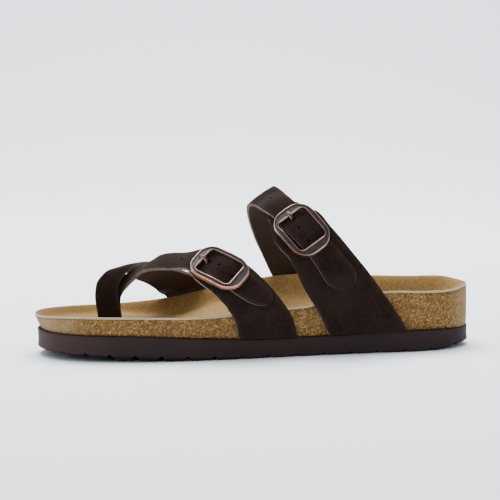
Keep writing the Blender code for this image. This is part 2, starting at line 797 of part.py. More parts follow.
def cut_post_slot(bodies, straps):
    """Slot for the toe post through the bed, from the straps' own extent below the bed's surface."""
    depth = [v.co for strap in straps for v in strap.data.vertices
             if v.co.z < rim_height(v.co.x, mid_y(v.co.x)) and abs(v.co.y - mid_y(v.co.x)) < BALL * 0.3]
    low = [min(p[i] for p in depth) - GAP for i in (0, 1)]
    high = [max(p[i] for p in depth) + GAP for i in (0, 1)]
    corners = ((low[0], low[1]), (high[0], low[1]), (high[0], high[1]), (low[0], high[1]))
    rings = [[Vector((x, y, z)) for x, y in corners] for z in (0, HEEL_RIM * 2)]
    cutter = solid("post_slot_form", rings, caps=True)
    for body in bodies:
        combine(body, cutter, "DIFFERENCE")


def main():
    """Build every piece in place."""
    clear_scene()
    make_outsole()
    rear_band, front_band, toe_band = seated(REAR_BAND), seated(FRONT_BAND), seated(TOE_BAND)
    cork = make_cork()
    insole = make_insole()

    rear_seat = Seat(rear_band, REAR_STRAP_CUT, REAR_BUCKLE_ROW)
    front_seat = Seat(front_band, FRONT_STRAP_CUT, FRONT_BUCKLE_ROW)
    layer("rear_quarter", rear_band, REAR_QUARTER_CUT, stations(REAR_QUARTER_CUT, 13, round_end=1.0),
          6, QUARTER, no_lift)
    layer("front_quarter", front_band, FRONT_QUARTER_CUT, stations(FRONT_QUARTER_CUT, 11, round_end=0.9),
          6, QUARTER, no_lift)
    rear_strap = layer("rear_strap", rear_band, REAR_STRAP_CUT, stations(REAR_STRAP_CUT, 28, round_start=0.7),
                       4, STRAP, strap_lift(rear_seat, REAR_QUARTER_CUT[-1][0]))
    toe_straps = layer("toe_straps", front_band, FRONT_STRAP_CUT, stations(FRONT_STRAP_CUT, 28, round_start=0.9),
                       4, STRAP, strap_lift(front_seat, FRONT_QUARTER_CUT[-1][0]))
    toe_form = layer("toe_strap_form", toe_band, TOE_STRAP_CUT, stations(TOE_STRAP_CUT, 24), 4, STRAP, no_lift)
    combine(toe_straps, toe_form, "UNION")
    cut_prong_hole(rear_strap, rear_seat)
    cut_prong_hole(toe_straps, front_seat)
    cut_post_slot((cork, insole), (toe_straps, toe_form))

    for place, seat in (("front", front_seat), ("rear", rear_seat)):
        make_buckle(place + "_buckle", seat)
        make_prong(place + "_prong", seat)


main()
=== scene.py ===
"""Looks of the left cork footbed sandal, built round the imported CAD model.

The toe points to -X, the heel to +X, the lateral side (with the buckles) to -Y and the medial side
to +Y. The sole and the straps follow the CAD part's sizes, tables and bands at a finer resolution,
with a few values moved by up to about 2 mm to match the photograph, so each piece here stands where
the solid stands that it replaces.
"""
from math import acos, cos, pi, radians, sin, sqrt

import bmesh
import bpy
from mathutils import Matrix, Vector, noise


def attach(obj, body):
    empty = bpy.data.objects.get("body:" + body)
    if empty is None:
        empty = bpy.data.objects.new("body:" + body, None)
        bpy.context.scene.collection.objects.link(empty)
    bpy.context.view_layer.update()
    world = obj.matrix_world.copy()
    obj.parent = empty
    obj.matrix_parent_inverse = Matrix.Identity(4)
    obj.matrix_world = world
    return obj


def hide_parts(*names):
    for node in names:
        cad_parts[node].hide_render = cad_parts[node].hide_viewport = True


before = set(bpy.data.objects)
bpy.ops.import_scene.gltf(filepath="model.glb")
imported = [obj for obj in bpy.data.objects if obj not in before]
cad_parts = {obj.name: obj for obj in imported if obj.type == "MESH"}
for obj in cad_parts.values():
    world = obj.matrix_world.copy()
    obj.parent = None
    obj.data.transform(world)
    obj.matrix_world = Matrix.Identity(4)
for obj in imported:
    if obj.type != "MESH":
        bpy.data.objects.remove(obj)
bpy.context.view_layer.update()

MM = 0.001

# Overall sizes
LENGTH = 256 * MM          # outsole, from toe to heel
BALL = 94 * MM             # outsole, across the ball
INSTEP = 96.4 * MM         # floor to the crest of the rear strap
HEEL_RIM = 36 * MM         # underside to the rim at the heel, the bed's height scale
SOLE = 11.3 * MM           # outsole at its thinnest, below the arch
TOE_SPRING = 4.2 * MM      # rise of the underside at the toe tip

# Walls and steps
GAP = 0.3 * MM             # clearance between neighbouring pieces
CORK_STEP = 2.2 * MM       # outsole edge to the foot of the cork side
LINER = 1.2 * MM           # suede skin of the insole
QUARTER = 2.2 * MM         # leather of the two quarters
STRAP = 2.0 * MM           # leather of the straps
EDGE_ROUND = 2.6 * MM      # width of the chamfer under the outsole
HEEL_BEVEL = 2.4 * MM      # rise of the underside at the heel tip

# Tread
TREAD_PITCH = 15.4 * MM
TREAD_WIDTH = 4.2 * MM
TREAD_DEPTH = 1.3 * MM
TREAD_WAVE = 2.6 * MM
TREAD_WAVELENGTH = 38 * MM

# Buckle, the same twice
BUCKLE_LENGTH = 34.5 * MM
BUCKLE_WIDTH = 26.5 * MM
END_RAIL = 6.0 * MM
SIDE_RAIL = 3.5 * MM
RING_HEIGHT = 2.8 * MM
RING_SHIFT = 0.4 * MM      # ring off the strap's middle, towards its front edge
BAR = 1.4 * MM             # diameter of the hidden cross bar
PRONG_WIDTH = 1.9 * MM
PRONG_WALL = 0.75 * MM
PIN_TOP = (2, 3)            # faces of the pin's section that look outwards

# Outline: share of length from the toe, half widths as shares of half the ball width
OUTLINE = (
    # along, medial, lateral
    (0.000, 0.16, 0.16),
    (0.025, 0.64, -0.38),
    (0.090, 0.94, -0.74),
    (0.200, 1.00, -0.945),
    (0.330, 0.97, -1.00),
    (0.460, 0.78, -0.94),
    (0.610, 0.66, -0.825),
    (0.770, 0.69, -0.745),
    (0.900, 0.64, -0.69),
    (0.972, 0.42, -0.44),
    (1.000, -0.02, -0.02),
)

# Outsole thickness as shares of SOLE
SOLE_TOP = (
    # along, thickness
    (0.00, 1.00),
    (0.23, 1.22),
    (0.31, 1.19),
    (0.40, 1.10),
    (0.485, 1.00),
    (0.664, 1.00),
    (0.84, 1.10),
    (1.00, 1.04),
)

# Rim of the bed above the underside as shares of HEEL_RIM, and its step in as a share of CORK_STEP
RIM = (
    # along, lateral, medial, step_in
    (0.00, 0.56, 0.56, -0.55),
    (0.06, 0.63, 0.565, 0.15),
    (0.14, 0.667, 0.595, 0.70),
    (0.24, 0.697, 0.66, 0.75),
    (0.33, 0.70, 0.76, 0.75),
    (0.42, 0.717, 0.917, 0.75),
    (0.52, 0.772, 1.064, 0.75),
    (0.61, 0.814, 1.128, 0.75),
    (0.71, 0.917, 1.106, 0.75),
    (0.80, 1.00, 1.067, 0.70),
    (0.89, 0.983, 1.045, 0.58),
    (0.96, 0.975, 1.060, 0.35),
    (1.00, 1.020, 1.020, 0.05),
)

# Floor of the bed as shares of HEEL_RIM, its rise to the medial arch, and the inner wall's width
FLOOR = (
    # along, floor, arch, wall
    (0.00, 0.46, 0.00, 0.22),
    (0.10, 0.45, 0.00, 0.25),
    (0.19, 0.49, 0.00, 0.25),
    (0.26, 0.46, 0.00, 0.25),
    (0.34, 0.48, 0.03, 0.27),
    (0.42, 0.57, 0.12, 0.30),
    (0.54, 0.64, 0.24, 0.36),
    (0.66, 0.65, 0.18, 0.42),
    (0.78, 0.61, 0.06, 0.46),
    (0.90, 0.60, 0.00, 0.46),
    (1.00, 0.62, 0.00, 0.46),
)

# Rings of the bed from the rim to its spine, as shares of the way in
BED_RINGS = (0.0, 0.012, 0.03, 0.05, 0.075, 0.10, 0.13, 0.16, 0.20, 0.25, 0.30, 0.36, 0.43,
             0.51, 0.60, 0.70, 0.80, 0.90, 1.0)
SPINE_TOE = 0.16           # the spine's ends, as shares of length
SPINE_HEEL = 0.87
OUTLINE_STEPS = 96         # stations along each side of the outline, three times the CAD part's

# Bands: shares of LENGTH, BALL and INSTEP, outer face. A height of 0 is the outsole's upper face.
# Hug 1 keeps a row outside the cork's side.
# Columns: x_front, y_front, z_front, x_rear, y_rear, z_rear, hug
REAR_BAND = (
    (0.164, -0.403, 0, 0.345, -0.369, 0, 1),
    (0.145, -0.407, 0.236, 0.318, -0.376, 0.255, 1),
    (0.127, -0.407, 0.322, 0.288, -0.381, 0.374, 1),
    (0.107, -0.404, 0.414, 0.255, -0.372, 0.503, 1),
    (0.090, -0.388, 0.517, 0.222, -0.351, 0.616, 1),
    (0.076, -0.364, 0.595, 0.197, -0.319, 0.703, 1),
    (0.056, -0.330, 0.653, 0.173, -0.282, 0.780, 0),
    (0.041, -0.277, 0.722, 0.150, -0.229, 0.856, 0),
    (0.038, -0.207, 0.801, 0.124, -0.154, 0.884, 0),
    (0.023, -0.128, 0.866, 0.092, -0.085, 0.935, 0),
    (0.011, -0.027, 0.890, 0.073, 0.000, 0.975, 0),
    (-0.004, 0.064, 0.891, 0.058, 0.074, 0.999, 0),
    (-0.006, 0.149, 0.850, 0.059, 0.170, 0.978, 0),
    (0.001, 0.234, 0.764, 0.060, 0.261, 0.905, 0),
    (0.016, 0.298, 0.650, 0.078, 0.330, 0.769, 0),
    (0.034, 0.340, 0.543, 0.118, 0.362, 0.630, 1),
    (0.053, 0.372, 0.430, 0.173, 0.378, 0.485, 1),
    (0.074, 0.372, 0.311, 0.211, 0.367, 0.321, 1),
    (0.102, 0.354, 0, 0.250, 0.346, 0, 1),
)
FRONT_BAND = (
    (-0.044, -0.474, 0, 0.091, -0.429, 0, 1),
    (-0.052, -0.481, 0.230, 0.080, -0.436, 0.232, 1),
    (-0.068, -0.484, 0.310, 0.064, -0.441, 0.313, 1),
    (-0.082, -0.479, 0.356, 0.040, -0.431, 0.401, 1),
    (-0.101, -0.463, 0.410, 0.014, -0.404, 0.479, 1),
    (-0.123, -0.426, 0.455, -0.013, -0.356, 0.546, 1),
    (-0.139, -0.383, 0.488, -0.043, -0.298, 0.593, 0),
    (-0.152, -0.335, 0.526, -0.085, -0.234, 0.638, 0),
    (-0.176, -0.277, 0.535, -0.141, -0.165, 0.618, 0),
    (-0.204, -0.202, 0.537, -0.177, -0.085, 0.617, 0),
    (-0.238, -0.112, 0.527, -0.208, 0.000, 0.600, 0),
    (-0.260, -0.048, 0.506, -0.231, 0.059, 0.560, 0),
    (-0.275, 0.016, 0.461, -0.264, 0.101, 0.508, 0),
    (-0.293, 0.048, 0.409, -0.291, 0.122, 0.472, 0),
    (-0.303, 0.068, 0.358, -0.326, 0.117, 0.425, 0),
    (-0.306, 0.064, 0.306, -0.355, 0.079, 0.352, 0),
    (-0.306, 0.060, 0.249, -0.358, 0.060, 0.270, 0),
    (-0.306, 0.060, 0, -0.358, 0.060, 0, 0),
)
TOE_BAND = (
    (-0.360, 0.043, 0, -0.304, 0.043, 0, 0),
    (-0.360, 0.043, 0.229, -0.304, 0.043, 0.228, 0),
    (-0.365, 0.043, 0.323, -0.311, 0.043, 0.301, 0),
    (-0.364, 0.043, 0.385, -0.3125, 0.043, 0.381, 0),
    (-0.358, 0.048, 0.442, -0.307, 0.048, 0.430, 0),
    (-0.338, 0.085, 0.496, -0.291, 0.074, 0.485, 0),
    (-0.317, 0.138, 0.510, -0.266, 0.117, 0.532, 0),
    (-0.300, 0.213, 0.502, -0.234, 0.191, 0.537, 0),
    (-0.273, 0.340, 0.435, -0.174, 0.298, 0.480, 1),
    (-0.240, 0.425, 0.385, -0.138, 0.362, 0.440, 1),
    (-0.206, 0.480, 0.312, -0.093, 0.420, 0.372, 1),
    (-0.177, 0.500, 0.230, -0.055, 0.432, 0.275, 1),
    (-0.154, 0.490, 0, -0.020, 0.415, 0, 1),
)

# Cuts: where each piece lies on its band, as shares across the row, and by how many rows its rear
# edge runs ahead of its front edge. Columns: row, front, rear, skew
REAR_QUARTER_CUT = ((0.0, 0.0, 1.0, 0.0), (8.65, 0.0, 1.0, 0.25))
REAR_STRAP_CUT = (
    (2.28, 0.350, 0.820, 0.30),
    (3.45, 0.335, 0.828, 0.32),
    (4.42, 0.320, 0.800, 0.20),
    (5.50, 0.285, 0.785, 0.17),
    (6.50, 0.250, 0.780, 0.13),
    (7.75, 0.165, 0.800, 0.10),
    (9.00, 0.0, 0.91, 0.0),
    (10.0, 0.0, 1.0, 0.0),
    (11.0, 0.0, 1.0, 0.0),
    (18.0, 0.0, 1.0, 0.0),
)
FRONT_QUARTER_CUT = ((0.0, 0.0, 1.0, 0.0), (7.5, 0.0, 1.0, 0.0))
FRONT_STRAP_CUT = (
    (1.76, 0.49, 0.975, 0.85),
    (3.40, 0.310, 0.845, 1.10),
    (5.00, 0.21, 0.775, 1.10),
    (6.00, 0.10, 0.810, 0.90),
    (7.00, 0.0, 1.0, 0.35),
    (8.00, 0.0, 1.0, 0.0),
    (17.0, 0.0, 1.0, 0.0),
)
TOE_STRAP_CUT = ((0.0, 0.0, 1.0, 0.0), (12.0, 0.0, 1.0, 0.0))
CROWN = 0.035              # bulge of a band, as a share of its width
REAR_BUCKLE_ROW = 6.25
FRONT_BUCKLE_ROW = 4.94

# Ring section: share of the rail from its outer edge, share of the ring's height, and whether the
# face from there to the next row is blackened
RING_SECTION = (
    # across, height, dark
    (0.04, 0.00, 0),
    (0.00, 0.25, 0),
    (0.005, 0.50, 0),
    (0.02, 0.76, 0),
    (0.05, 0.93, 0),
    (0.08, 1.00, 0),
    (0.13, 1.00, 0),
    (0.16, 0.94, 1),
    (0.20, 0.78, 1),
    (0.50, 0.74, 1),
    (0.81, 0.78, 1),
    (0.84, 0.94, 0),
    (0.87, 1.00, 0),
    (0.92, 0.98, 0),
    (0.98, 0.82, 1),
    (1.00, 0.62, 1),
    (0.98, 0.00, 1),
)

# Finish, on top of the CAD part's shapes
EDGE_BEVEL = 0.45 * MM     # rounding of a strap's cut edges
WORN_REACH = 2.6 * MM      # width of the worn line beside a cut edge
RIPPLE = 0.22 * MM         # slow unevenness of the leather
RIPPLE_SCALE = 38          # its waves per metre
LIFT_OFF = 1.9             # rows over which a tongue strap comes down past its quarter
QUARTER_ROUND = 0.42       # rows of the rounding at a quarter's upper end
BARREL = 0.065             # bulge of the ring's four sides, as a share of its half size
REAR_FAR_SIDE = 0.94       # a ring's half width away from the toe, as a share of the other half
FRONT_FAR_SIDE = 0.85
RING_BEVEL = 0.16 * MM     # rounding of the ring's corners
RIM_BEVEL = 0.35 * MM      # rounding of the bed's cut edge
NOTCH = 0.7 * MM           # how far the tread grooves cut into the outsole's wall
HOLE = 0.85 * MM           # radius of a punched hole
WALL_HOLLOW = 0.25 * MM    # hollow of the outsole's wall
TOP_ROUND = 0.5 * MM       # rounding of the outsole's upper edge
TREAD_STEPS = 60           # stations along each groove
MERGE = 0.01 * MM          # points closer than this become one
FINE_MERGE = 0.001 * MM    # the same on a ring
ROUND_SIDES = 20           # sides of a punched hole and of the cross bar
TREAD_PROFILE = ((-1.30, -3.0), (-0.62, -0.7), (-0.30, -0.16), (-0.12, 0.0),
                 (0.10, 0.0), (0.24, -0.16), (0.42, -0.7), (0.80, -3.0))
EDGE_PROFILE = ((1.0, 0.0), (0.66, 0.30), (0.33, 0.63), (0.10, 0.88), (0.0, 1.0))
ACROSS = (0.0, 0.025, 0.06, 0.12, 0.20, 0.30, 0.40, 0.50, 0.60, 0.70, 0.80, 0.88, 0.94, 0.975, 1.0)
CIRCLE = [(cos(2 * pi * k / ROUND_SIDES), sin(2 * pi * k / ROUND_SIDES))
          for k in range(ROUND_SIDES)]

# Punched holes: row and share across the cut
REAR_HOLES = ((6.36, 0.40), (5.43, 0.36), (9.55, 0.48))
FRONT_HOLES = ((5.05, 0.50), (4.02, 0.42), (8.10, 0.45))

# Camera of the photograph
CAMERA_TURN = -4.0         # degrees round the sandal
CAMERA_RISE = 6.0          # degrees above the floor
CAMERA_ROLL = 1.1
CAMERA_AWAY = 1.5
CAMERA_AIM = Vector((-0.0009, 0, 0.059))
LENS = 181.8
SENSOR = 36

# Studio light
AIR_LIGHT = 0.95
LIGHTS = (
    # name, place, size, power
    ("above", (-0.10, 0.45, 1.3), 1.1, 38.0),
    ("back", (0.10, 1.30, 1.5), 1.4, 38.0),
    ("front", (-0.5, -1.5, 0.9), 1.2, 5.5),
)


HOOK_REACH = BAR / 2 + 0.25 * MM + PRONG_WALL / 2      # bar centre to the middle of the hook
BAR_HEIGHT = GAP + BAR / 2                             # bar centre over the quarter
HUMP = BAR_HEIGHT + HOOK_REACH + PRONG_WALL / 2        # rise of the strap over bar and hook
HUMP_REACH = BUCKLE_LENGTH * 0.4                       # half length of that rise
RING_SEAT = STRAP + 2 * GAP + 0.3 * MM                 # underside of the ring over the quarter


def smooth(value):
    """Ease from 0 to 1."""
    value = min(max(value, 0.0), 1.0)
    return value * value * (3 - 2 * value)


def curve(rows, at):
    """Values of a table at one place of its first column, on a smooth curve through its rows."""
    at = min(max(at, rows[0][0]), rows[-1][0])
    k = max(i for i in range(len(rows) - 1) if rows[i][0] <= at)
    before, start = rows[max(k - 1, 0)], rows[k]
    end, after = rows[k + 1], rows[min(k + 2, len(rows) - 1)]
    span = end[0] - start[0]
    t = (at - start[0]) / span
    values = []
    for i in range(1, len(start)):
        slope_in = (end[i] - before[i]) / (end[0] - before[0]) * span
        slope_out = (after[i] - start[i]) / (after[0] - start[0]) * span
        values.append((2 * t ** 3 - 3 * t ** 2 + 1) * start[i]
                      + (t ** 3 - 2 * t ** 2 + t) * slope_in
                      + (3 * t ** 2 - 2 * t ** 3) * end[i]
                      + (t ** 3 - t ** 2) * slope_out)
    return values


def turn(along):
    """Share of length as an angle, so that a table in it has round ends."""
    return acos(1 - 2 * min(max(along, 0.0), 1.0))


ROUND_OUTLINE = [(turn(along), medial, lateral) for along, medial, lateral in OUTLINE]


def share(x):
    """Share of length at a place."""
    return min(max(x / LENGTH + 0.5, 0.0), 1.0)


def side_y(x, side):
    """Edge of the outsole at x, on the medial side (1) or the lateral side (-1)."""
    medial, lateral = curve(ROUND_OUTLINE, turn(share(x)))
    return (medial if side > 0 else lateral) * BALL / 2


def mid_y(x):
    """Midline of the sole at x."""
    return (side_y(x, 1) + side_y(x, -1)) / 2


def spring(x):
    """Rise of the underside towards the toe."""
    reach = max(0.0, (0.345 - share(x)) / 0.345)
    return TOE_SPRING * reach ** 1.3


def sole_top(x):
    """Height of the outsole's upper face."""
    return spring(x) + curve(SOLE_TOP, share(x))[0] * SOLE


def medial_share(x, y):
    """0 on the lateral side, 1 on the medial side, eased between them."""
    return smooth(0.5 + (y - mid_y(x)) / (0.7 * BALL))


def rim_height(x, y):
    """Height of the bed's rim."""
    lateral, medial, _ = curve(RIM, share(x))
    blend = medial_share(x, y)
    return spring(x) + HEEL_RIM * (lateral * (1 - blend) + medial * blend)


def rim_step(x):
    """Step in of the rim from the outsole's edge."""
    return curve(RIM, share(x))[2] * CORK_STEP


def outline_ring():
    """Points of the outsole's edge with outward directions: toe, medial, heel, lateral."""
    stations = [-LENGTH / 2 * cos(pi * i / OUTLINE_STEPS) for i in range(OUTLINE_STEPS + 1)]
    ring = [Vector((x, side_y(x, 1), 0)) for x in stations]
    ring += [Vector((x, side_y(x, -1), 0)) for x in stations[-2:0:-1]]
    outward = []
    for i, point in enumerate(ring):
        along = ring[(i + 1) % len(ring)] - ring[i - 1]
        outward.append(Vector((-along.y, along.x, 0)).normalized())
    return ring, outward


EDGE, OUTWARD = outline_ring()


def spine_point(point):
    """Nearest place of the sole's spine."""
    low = (SPINE_TOE - 0.5) * LENGTH
    high = (SPINE_HEEL - 0.5) * LENGTH
    x = min(max(point.x, low), high)
    return Vector((x, mid_y(x), 0))


def seated(rows):
    """A band's rows with their numbers, and with each height of 0 set on the outsole."""
    numbered = []
    for i, (xf, yf, zf, xr, yr, zr, hug) in enumerate(rows):
        front = zf or (sole_top(xf * LENGTH) + GAP) / INSTEP
        rear = zr or (sole_top(xr * LENGTH) + GAP) / INSTEP
        numbered.append((i, xf, yf, front, xr, yr, rear, hug))
    return numbered


def band_row(rows, row):
    """Front point, rear point and hug of a band at one row."""
    xf, yf, zf, xr, yr, zr, hug = curve(rows, row)
    front = Vector((xf * LENGTH, yf * BALL, zf * INSTEP))
    rear = Vector((xr * LENGTH, yr * BALL, zr * INSTEP))
    return front, rear, hug


def stand_off(point):
    """Least distance from the midplane that clears the cork's side, easing off above the rim."""
    side = -1 if point.y < 0 else 1
    edge = abs(side_y(point.x, side)) - CORK_STEP * 0.6 + QUARTER + GAP
    rim = rim_height(point.x, side_y(point.x, side))
    above = smooth((point.z - rim - 2 * MM) / (HEEL_RIM * 0.4))
    return edge - above * BALL * 0.2


def keep_clear(point, hug):
    """Move a band's point out of the cork and up from the outsole."""
    if hug > 0:
        ease = 0.5 * MM
        far = max(hug, 0) * stand_off(point)
        near = abs(point.y)
        out = (near + far + sqrt((near - far) ** 2 + ease ** 2)) / 2
        point.y = out if point.y > 0 else -out
    point.z = max(point.z, sole_top(point.x) + GAP)
    return point


def band_point(rows, row, across):
    """A point of the band, bulged outwards between its edges and clear of the sole."""
    row = min(max(row, 0), len(rows) - 1)
    front, rear, hug = band_row(rows, row)
    step = 0.02
    ahead = band_row(rows, min(row + step, len(rows) - 1))
    behind = band_row(rows, max(row - step, 0))
    along = (ahead[0] + ahead[1]) - (behind[0] + behind[1])
    outward = (rear - front).cross(along).normalized()
    bulge = 4 * CROWN * (rear - front).length * across * (1 - across)
    return keep_clear(front.lerp(rear, across) + outward * bulge, hug)


def band_normal(rows, row, across):
    """Outward direction of the band."""
    step = 0.03
    last = len(rows) - 1
    ahead, behind = min(row + step, last), max(row - step, 0)
    along = band_point(rows, ahead, across) - band_point(rows, behind, across)
    over = band_point(rows, row, across + step) - band_point(rows, row, across - step)
    return over.cross(along).normalized()


def cut_place(cut, row, across):
    """Row and share across of a layer's place."""
    front, rear, skew = curve(cut, row)
    return row + skew * across, front + (rear - front) * across


class Seat:
    """Local frame of a buckle on its band: u along the strap, v across it, n outwards."""

    def __init__(self, rows, cut, row):
        self.rows = rows
        middle = cut_place(cut, row, 0.5)
        edge = cut_place(cut, row, 0.0)
        half_width = (band_point(rows, *middle) - band_point(rows, *edge)).length
        place = cut_place(cut, row, 0.5 - 0.5 * RING_SHIFT / half_width)
        ahead = cut_place(cut, row + 0.5, 0.5)
        behind = cut_place(cut, row - 0.5, 0.5)
        self.start = place
        self.centre = band_point(rows, *place)
        self.n = band_normal(rows, *place)
        along = band_point(rows, *ahead) - band_point(rows, *behind)
        self.u = (along - self.n * along.dot(self.n)).normalized()
        self.v = self.n.cross(self.u)
        spread = BUCKLE_WIDTH * 0.27
        reach = BUCKLE_LENGTH * 0.55
        places = [reach * (2 * i / 40 - 1) for i in range(41)]
        self.rises = [(u, max(self.height(u, v) for v in (-spread, 0, spread))) for u in places]

    def height(self, u, v):
        """Height of the band over the frame's plane, found by stepping along the band."""
        row, across = self.start
        step = 0.02
        for _ in range(8):
            here = band_point(self.rows, row, across) - self.centre
            by_row = band_point(self.rows, row + step, across) - self.centre - here
            by_across = band_point(self.rows, row, across + step) - self.centre - here
            a, b = by_row.dot(self.u) / step, by_across.dot(self.u) / step
            c, d = by_row.dot(self.v) / step, by_across.dot(self.v) / step
            du, dv = u - here.dot(self.u), v - here.dot(self.v)
            det = a * d - b * c
            row += (du * d - b * dv) / det
            across += (a * dv - c * du) / det
        return (band_point(self.rows, row, across) - self.centre).dot(self.n)

    def flat(self, u, v, n):
        """World place of a point of the straight frame."""
        return self.centre + self.u * u + self.v * v + self.n * n

    def bent(self, u, v, n):
        """World place of a point that follows the band's highest line along the strap."""
        return self.flat(u, v, n + curve(self.rises, u)[0])

    def along(self, point):
        """Distance of a point from the bar, along the strap."""
        return (point - self.centre).dot(self.u)


class Look:
    """A new node material, with short ways to add and link its nodes."""

    def __init__(self, name):
        self.made = bpy.data.materials.new(name)
        self.made.use_nodes = True
        self.tree = self.made.node_tree
        self.shader = self.tree.nodes["Principled BSDF"]
        self.where = self.tree.nodes.new("ShaderNodeTexCoord").outputs
        self.place = self.where["Object"]

    def feed(self, socket, value):
        """Set an input to another node's output, a colour or a number."""
        if isinstance(value, bpy.types.NodeSocket):
            self.tree.links.new(value, socket)
        else:
            socket.default_value = (*value, 1.0) if isinstance(value, tuple) else value

    def add(self, kind, **inputs):
        """A node with inputs set by name."""
        node = self.tree.nodes.new(kind)
        for key, value in inputs.items():
            self.feed(node.inputs[key.replace("_", " ")], value)
        return node

    def noise(self, scale, detail=3.0, rough=0.55):
        """Soft noise in the part's frame, about 0 to 1."""
        return self.add("ShaderNodeTexNoise", Vector=self.place, Scale=scale, Detail=detail,
                        Roughness=rough).outputs["Fac"]

    def cells(self, scale, place=None):
        """Cells with a random colour each."""
        return self.add("ShaderNodeTexVoronoi", Vector=place or self.place, Scale=scale)

    def channel(self, node, index):
        """One channel of a node's colour."""
        return self.add("ShaderNodeSeparateColor", Color=node.outputs["Color"]).outputs[index]

    def axis(self, letter, vector=None):
        """One coordinate of a vector, or of the place in the part's frame."""
        return self.add("ShaderNodeSeparateXYZ", Vector=vector or self.place).outputs[letter]

    def ramp(self, value, stops):
        """A colour ramp through (position, colour) stops."""
        node = self.add("ShaderNodeValToRGB", Fac=value)
        elements = node.color_ramp.elements
        while len(elements) < len(stops):
            elements.new(0.5)
        for element, (position, colour) in zip(elements, stops):
            element.position = position
            element.color = (*colour, 1.0)
        return node.outputs["Color"]

    def mix(self, amount, low, high, blend="MIX"):
        """Mix two colours by an amount."""
        node = self.tree.nodes.new("ShaderNodeMix")
        node.data_type = "RGBA"
        node.blend_type = blend
        for place, value in ((0, amount), (6, low), (7, high)):
            self.feed(node.inputs[place], value)
        return node.outputs[2]

    def math(self, operation, first, second):
        """One step of arithmetic."""
        node = self.tree.nodes.new("ShaderNodeMath")
        node.operation = operation
        self.feed(node.inputs[0], first)
        self.feed(node.inputs[1], second)
        return node.outputs[0]

    def band(self, value, low, high, to_low=0.0, to_high=1.0):
        """Map a range of a value to another, kept inside it."""
        return self.add("ShaderNodeMapRange", Value=value, From_Min=low, From_Max=high,
                        To_Min=to_low, To_Max=to_high).outputs["Result"]

    def attribute(self, name):
        """A number stored on the mesh."""
        node = self.tree.nodes.new("ShaderNodeAttribute")
        node.attribute_name = name
        return node.outputs["Fac"]

    def bump(self, *heights):
        """Bumps from (height output, distance in metres, strength) in turn."""
        normal = None
        for height, distance, strength in heights:
            node = self.add("ShaderNodeBump", Height=height, Distance=distance, Strength=strength)
            if normal:
                self.feed(node.inputs["Normal"], normal)
            normal = node.outputs["Normal"]
        self.feed(self.shader.inputs["Normal"], normal)

    def surface(self, colour, roughness, metallic=0.0, sheen=0.0, tint=(1, 1, 1), specular=0.5):
        """Set the shader's main inputs."""
        for name, value in (
                ("Base Color", colour), ("Roughness", roughness), ("Metallic", metallic),
                ("Sheen Weight", sheen), ("Sheen Roughness", 0.45), ("Sheen Tint", tint),
                ("Specular IOR Level", specular)):
            self.feed(self.shader.inputs[name], value)


def suede_look():
    """Very dark brown suede: brushed nap in patches, fine fibres, paler where the edge is worn."""
    n = Look("suede")
    patches = n.band(n.noise(70, 4.0, 0.6), 0.36, 0.66)
    fibres = n.noise(1500, 4.0, 0.7)
    mottle = n.noise(420, 3.0, 0.6)
    colour = n.mix(patches, (0.0095, 0.0051, 0.0040), (0.0160, 0.0092, 0.0074))
    colour = n.mix(n.band(mottle, 0.42, 0.68, 0.0, 0.40), colour, (0.0222, 0.0135, 0.0107))
    colour = n.mix(n.band(fibres, 0.50, 0.75, 0.0, 0.30), colour, (0.0272, 0.0165, 0.0129))
    worn = n.math("MULTIPLY", n.attribute("worn"), n.band(n.noise(300, 3.0), 0.35, 0.65, 0.35, 1.0))
    colour = n.mix(n.math("MULTIPLY", worn, 0.5), colour, (0.0420, 0.0270, 0.0205))
    n.surface(colour, n.band(fibres, 0.3, 0.7, 0.82, 0.98), sheen=0.03, tint=(0.62, 0.36, 0.23),
              specular=0.05)
    n.bump((patches, 0.0002, 0.25), (mottle, 0.00025, 0.35), (fibres, 0.00018, 0.45))
    return n.made


def cut_edge_look():
    """Cut edge of the leather: raw grey-brown fibres, paler than both faces."""
    n = Look("cut_edge")
    fibres = n.noise(1800, 3.0, 0.7)
    layers = n.noise(350, 3.0)
    colour = n.mix(n.band(fibres, 0.35, 0.68), (0.100, 0.070, 0.053), (0.235, 0.180, 0.142))
    colour = n.mix(n.band(layers, 0.40, 0.65, 0.0, 0.55), colour, (0.055, 0.037, 0.028))
    n.surface(colour, 0.9, sheen=0.12, tint=(0.8, 0.7, 0.6), specular=0.2)
    n.bump((fibres, 0.00015, 0.5))
    return n.made


def lining_look():
    """Inner face of the straps: smooth, darker, warm brown leather with a fine grain."""
    n = Look("lining")
    grain = n.cells(900)
    slow = n.noise(90, 3.0)
    colour = n.mix(n.band(slow, 0.35, 0.65), (0.0220, 0.0100, 0.0048), (0.0350, 0.0170, 0.0085))
    n.surface(colour, n.band(slow, 0.3, 0.7, 0.62, 0.75), sheen=0.08, tint=(0.7, 0.5, 0.4),
              specular=0.3)
    n.bump((grain.outputs["Distance"], 0.00010, 0.25), (n.noise(1600, 2.0), 0.00008, 0.25))
    return n.made


def painted_end_light(n, toe, heel):
    """Mask of painted light: 0 along the middle of the sole, 1 at its toe and heel ends."""
    x = n.axis("X")
    at_toe = n.band(x, -LENGTH * toe[0], -LENGTH * toe[1])
    at_heel = n.band(x, LENGTH * heel[0], LENGTH * heel[1])
    return n.math("MAXIMUM", at_toe, at_heel)


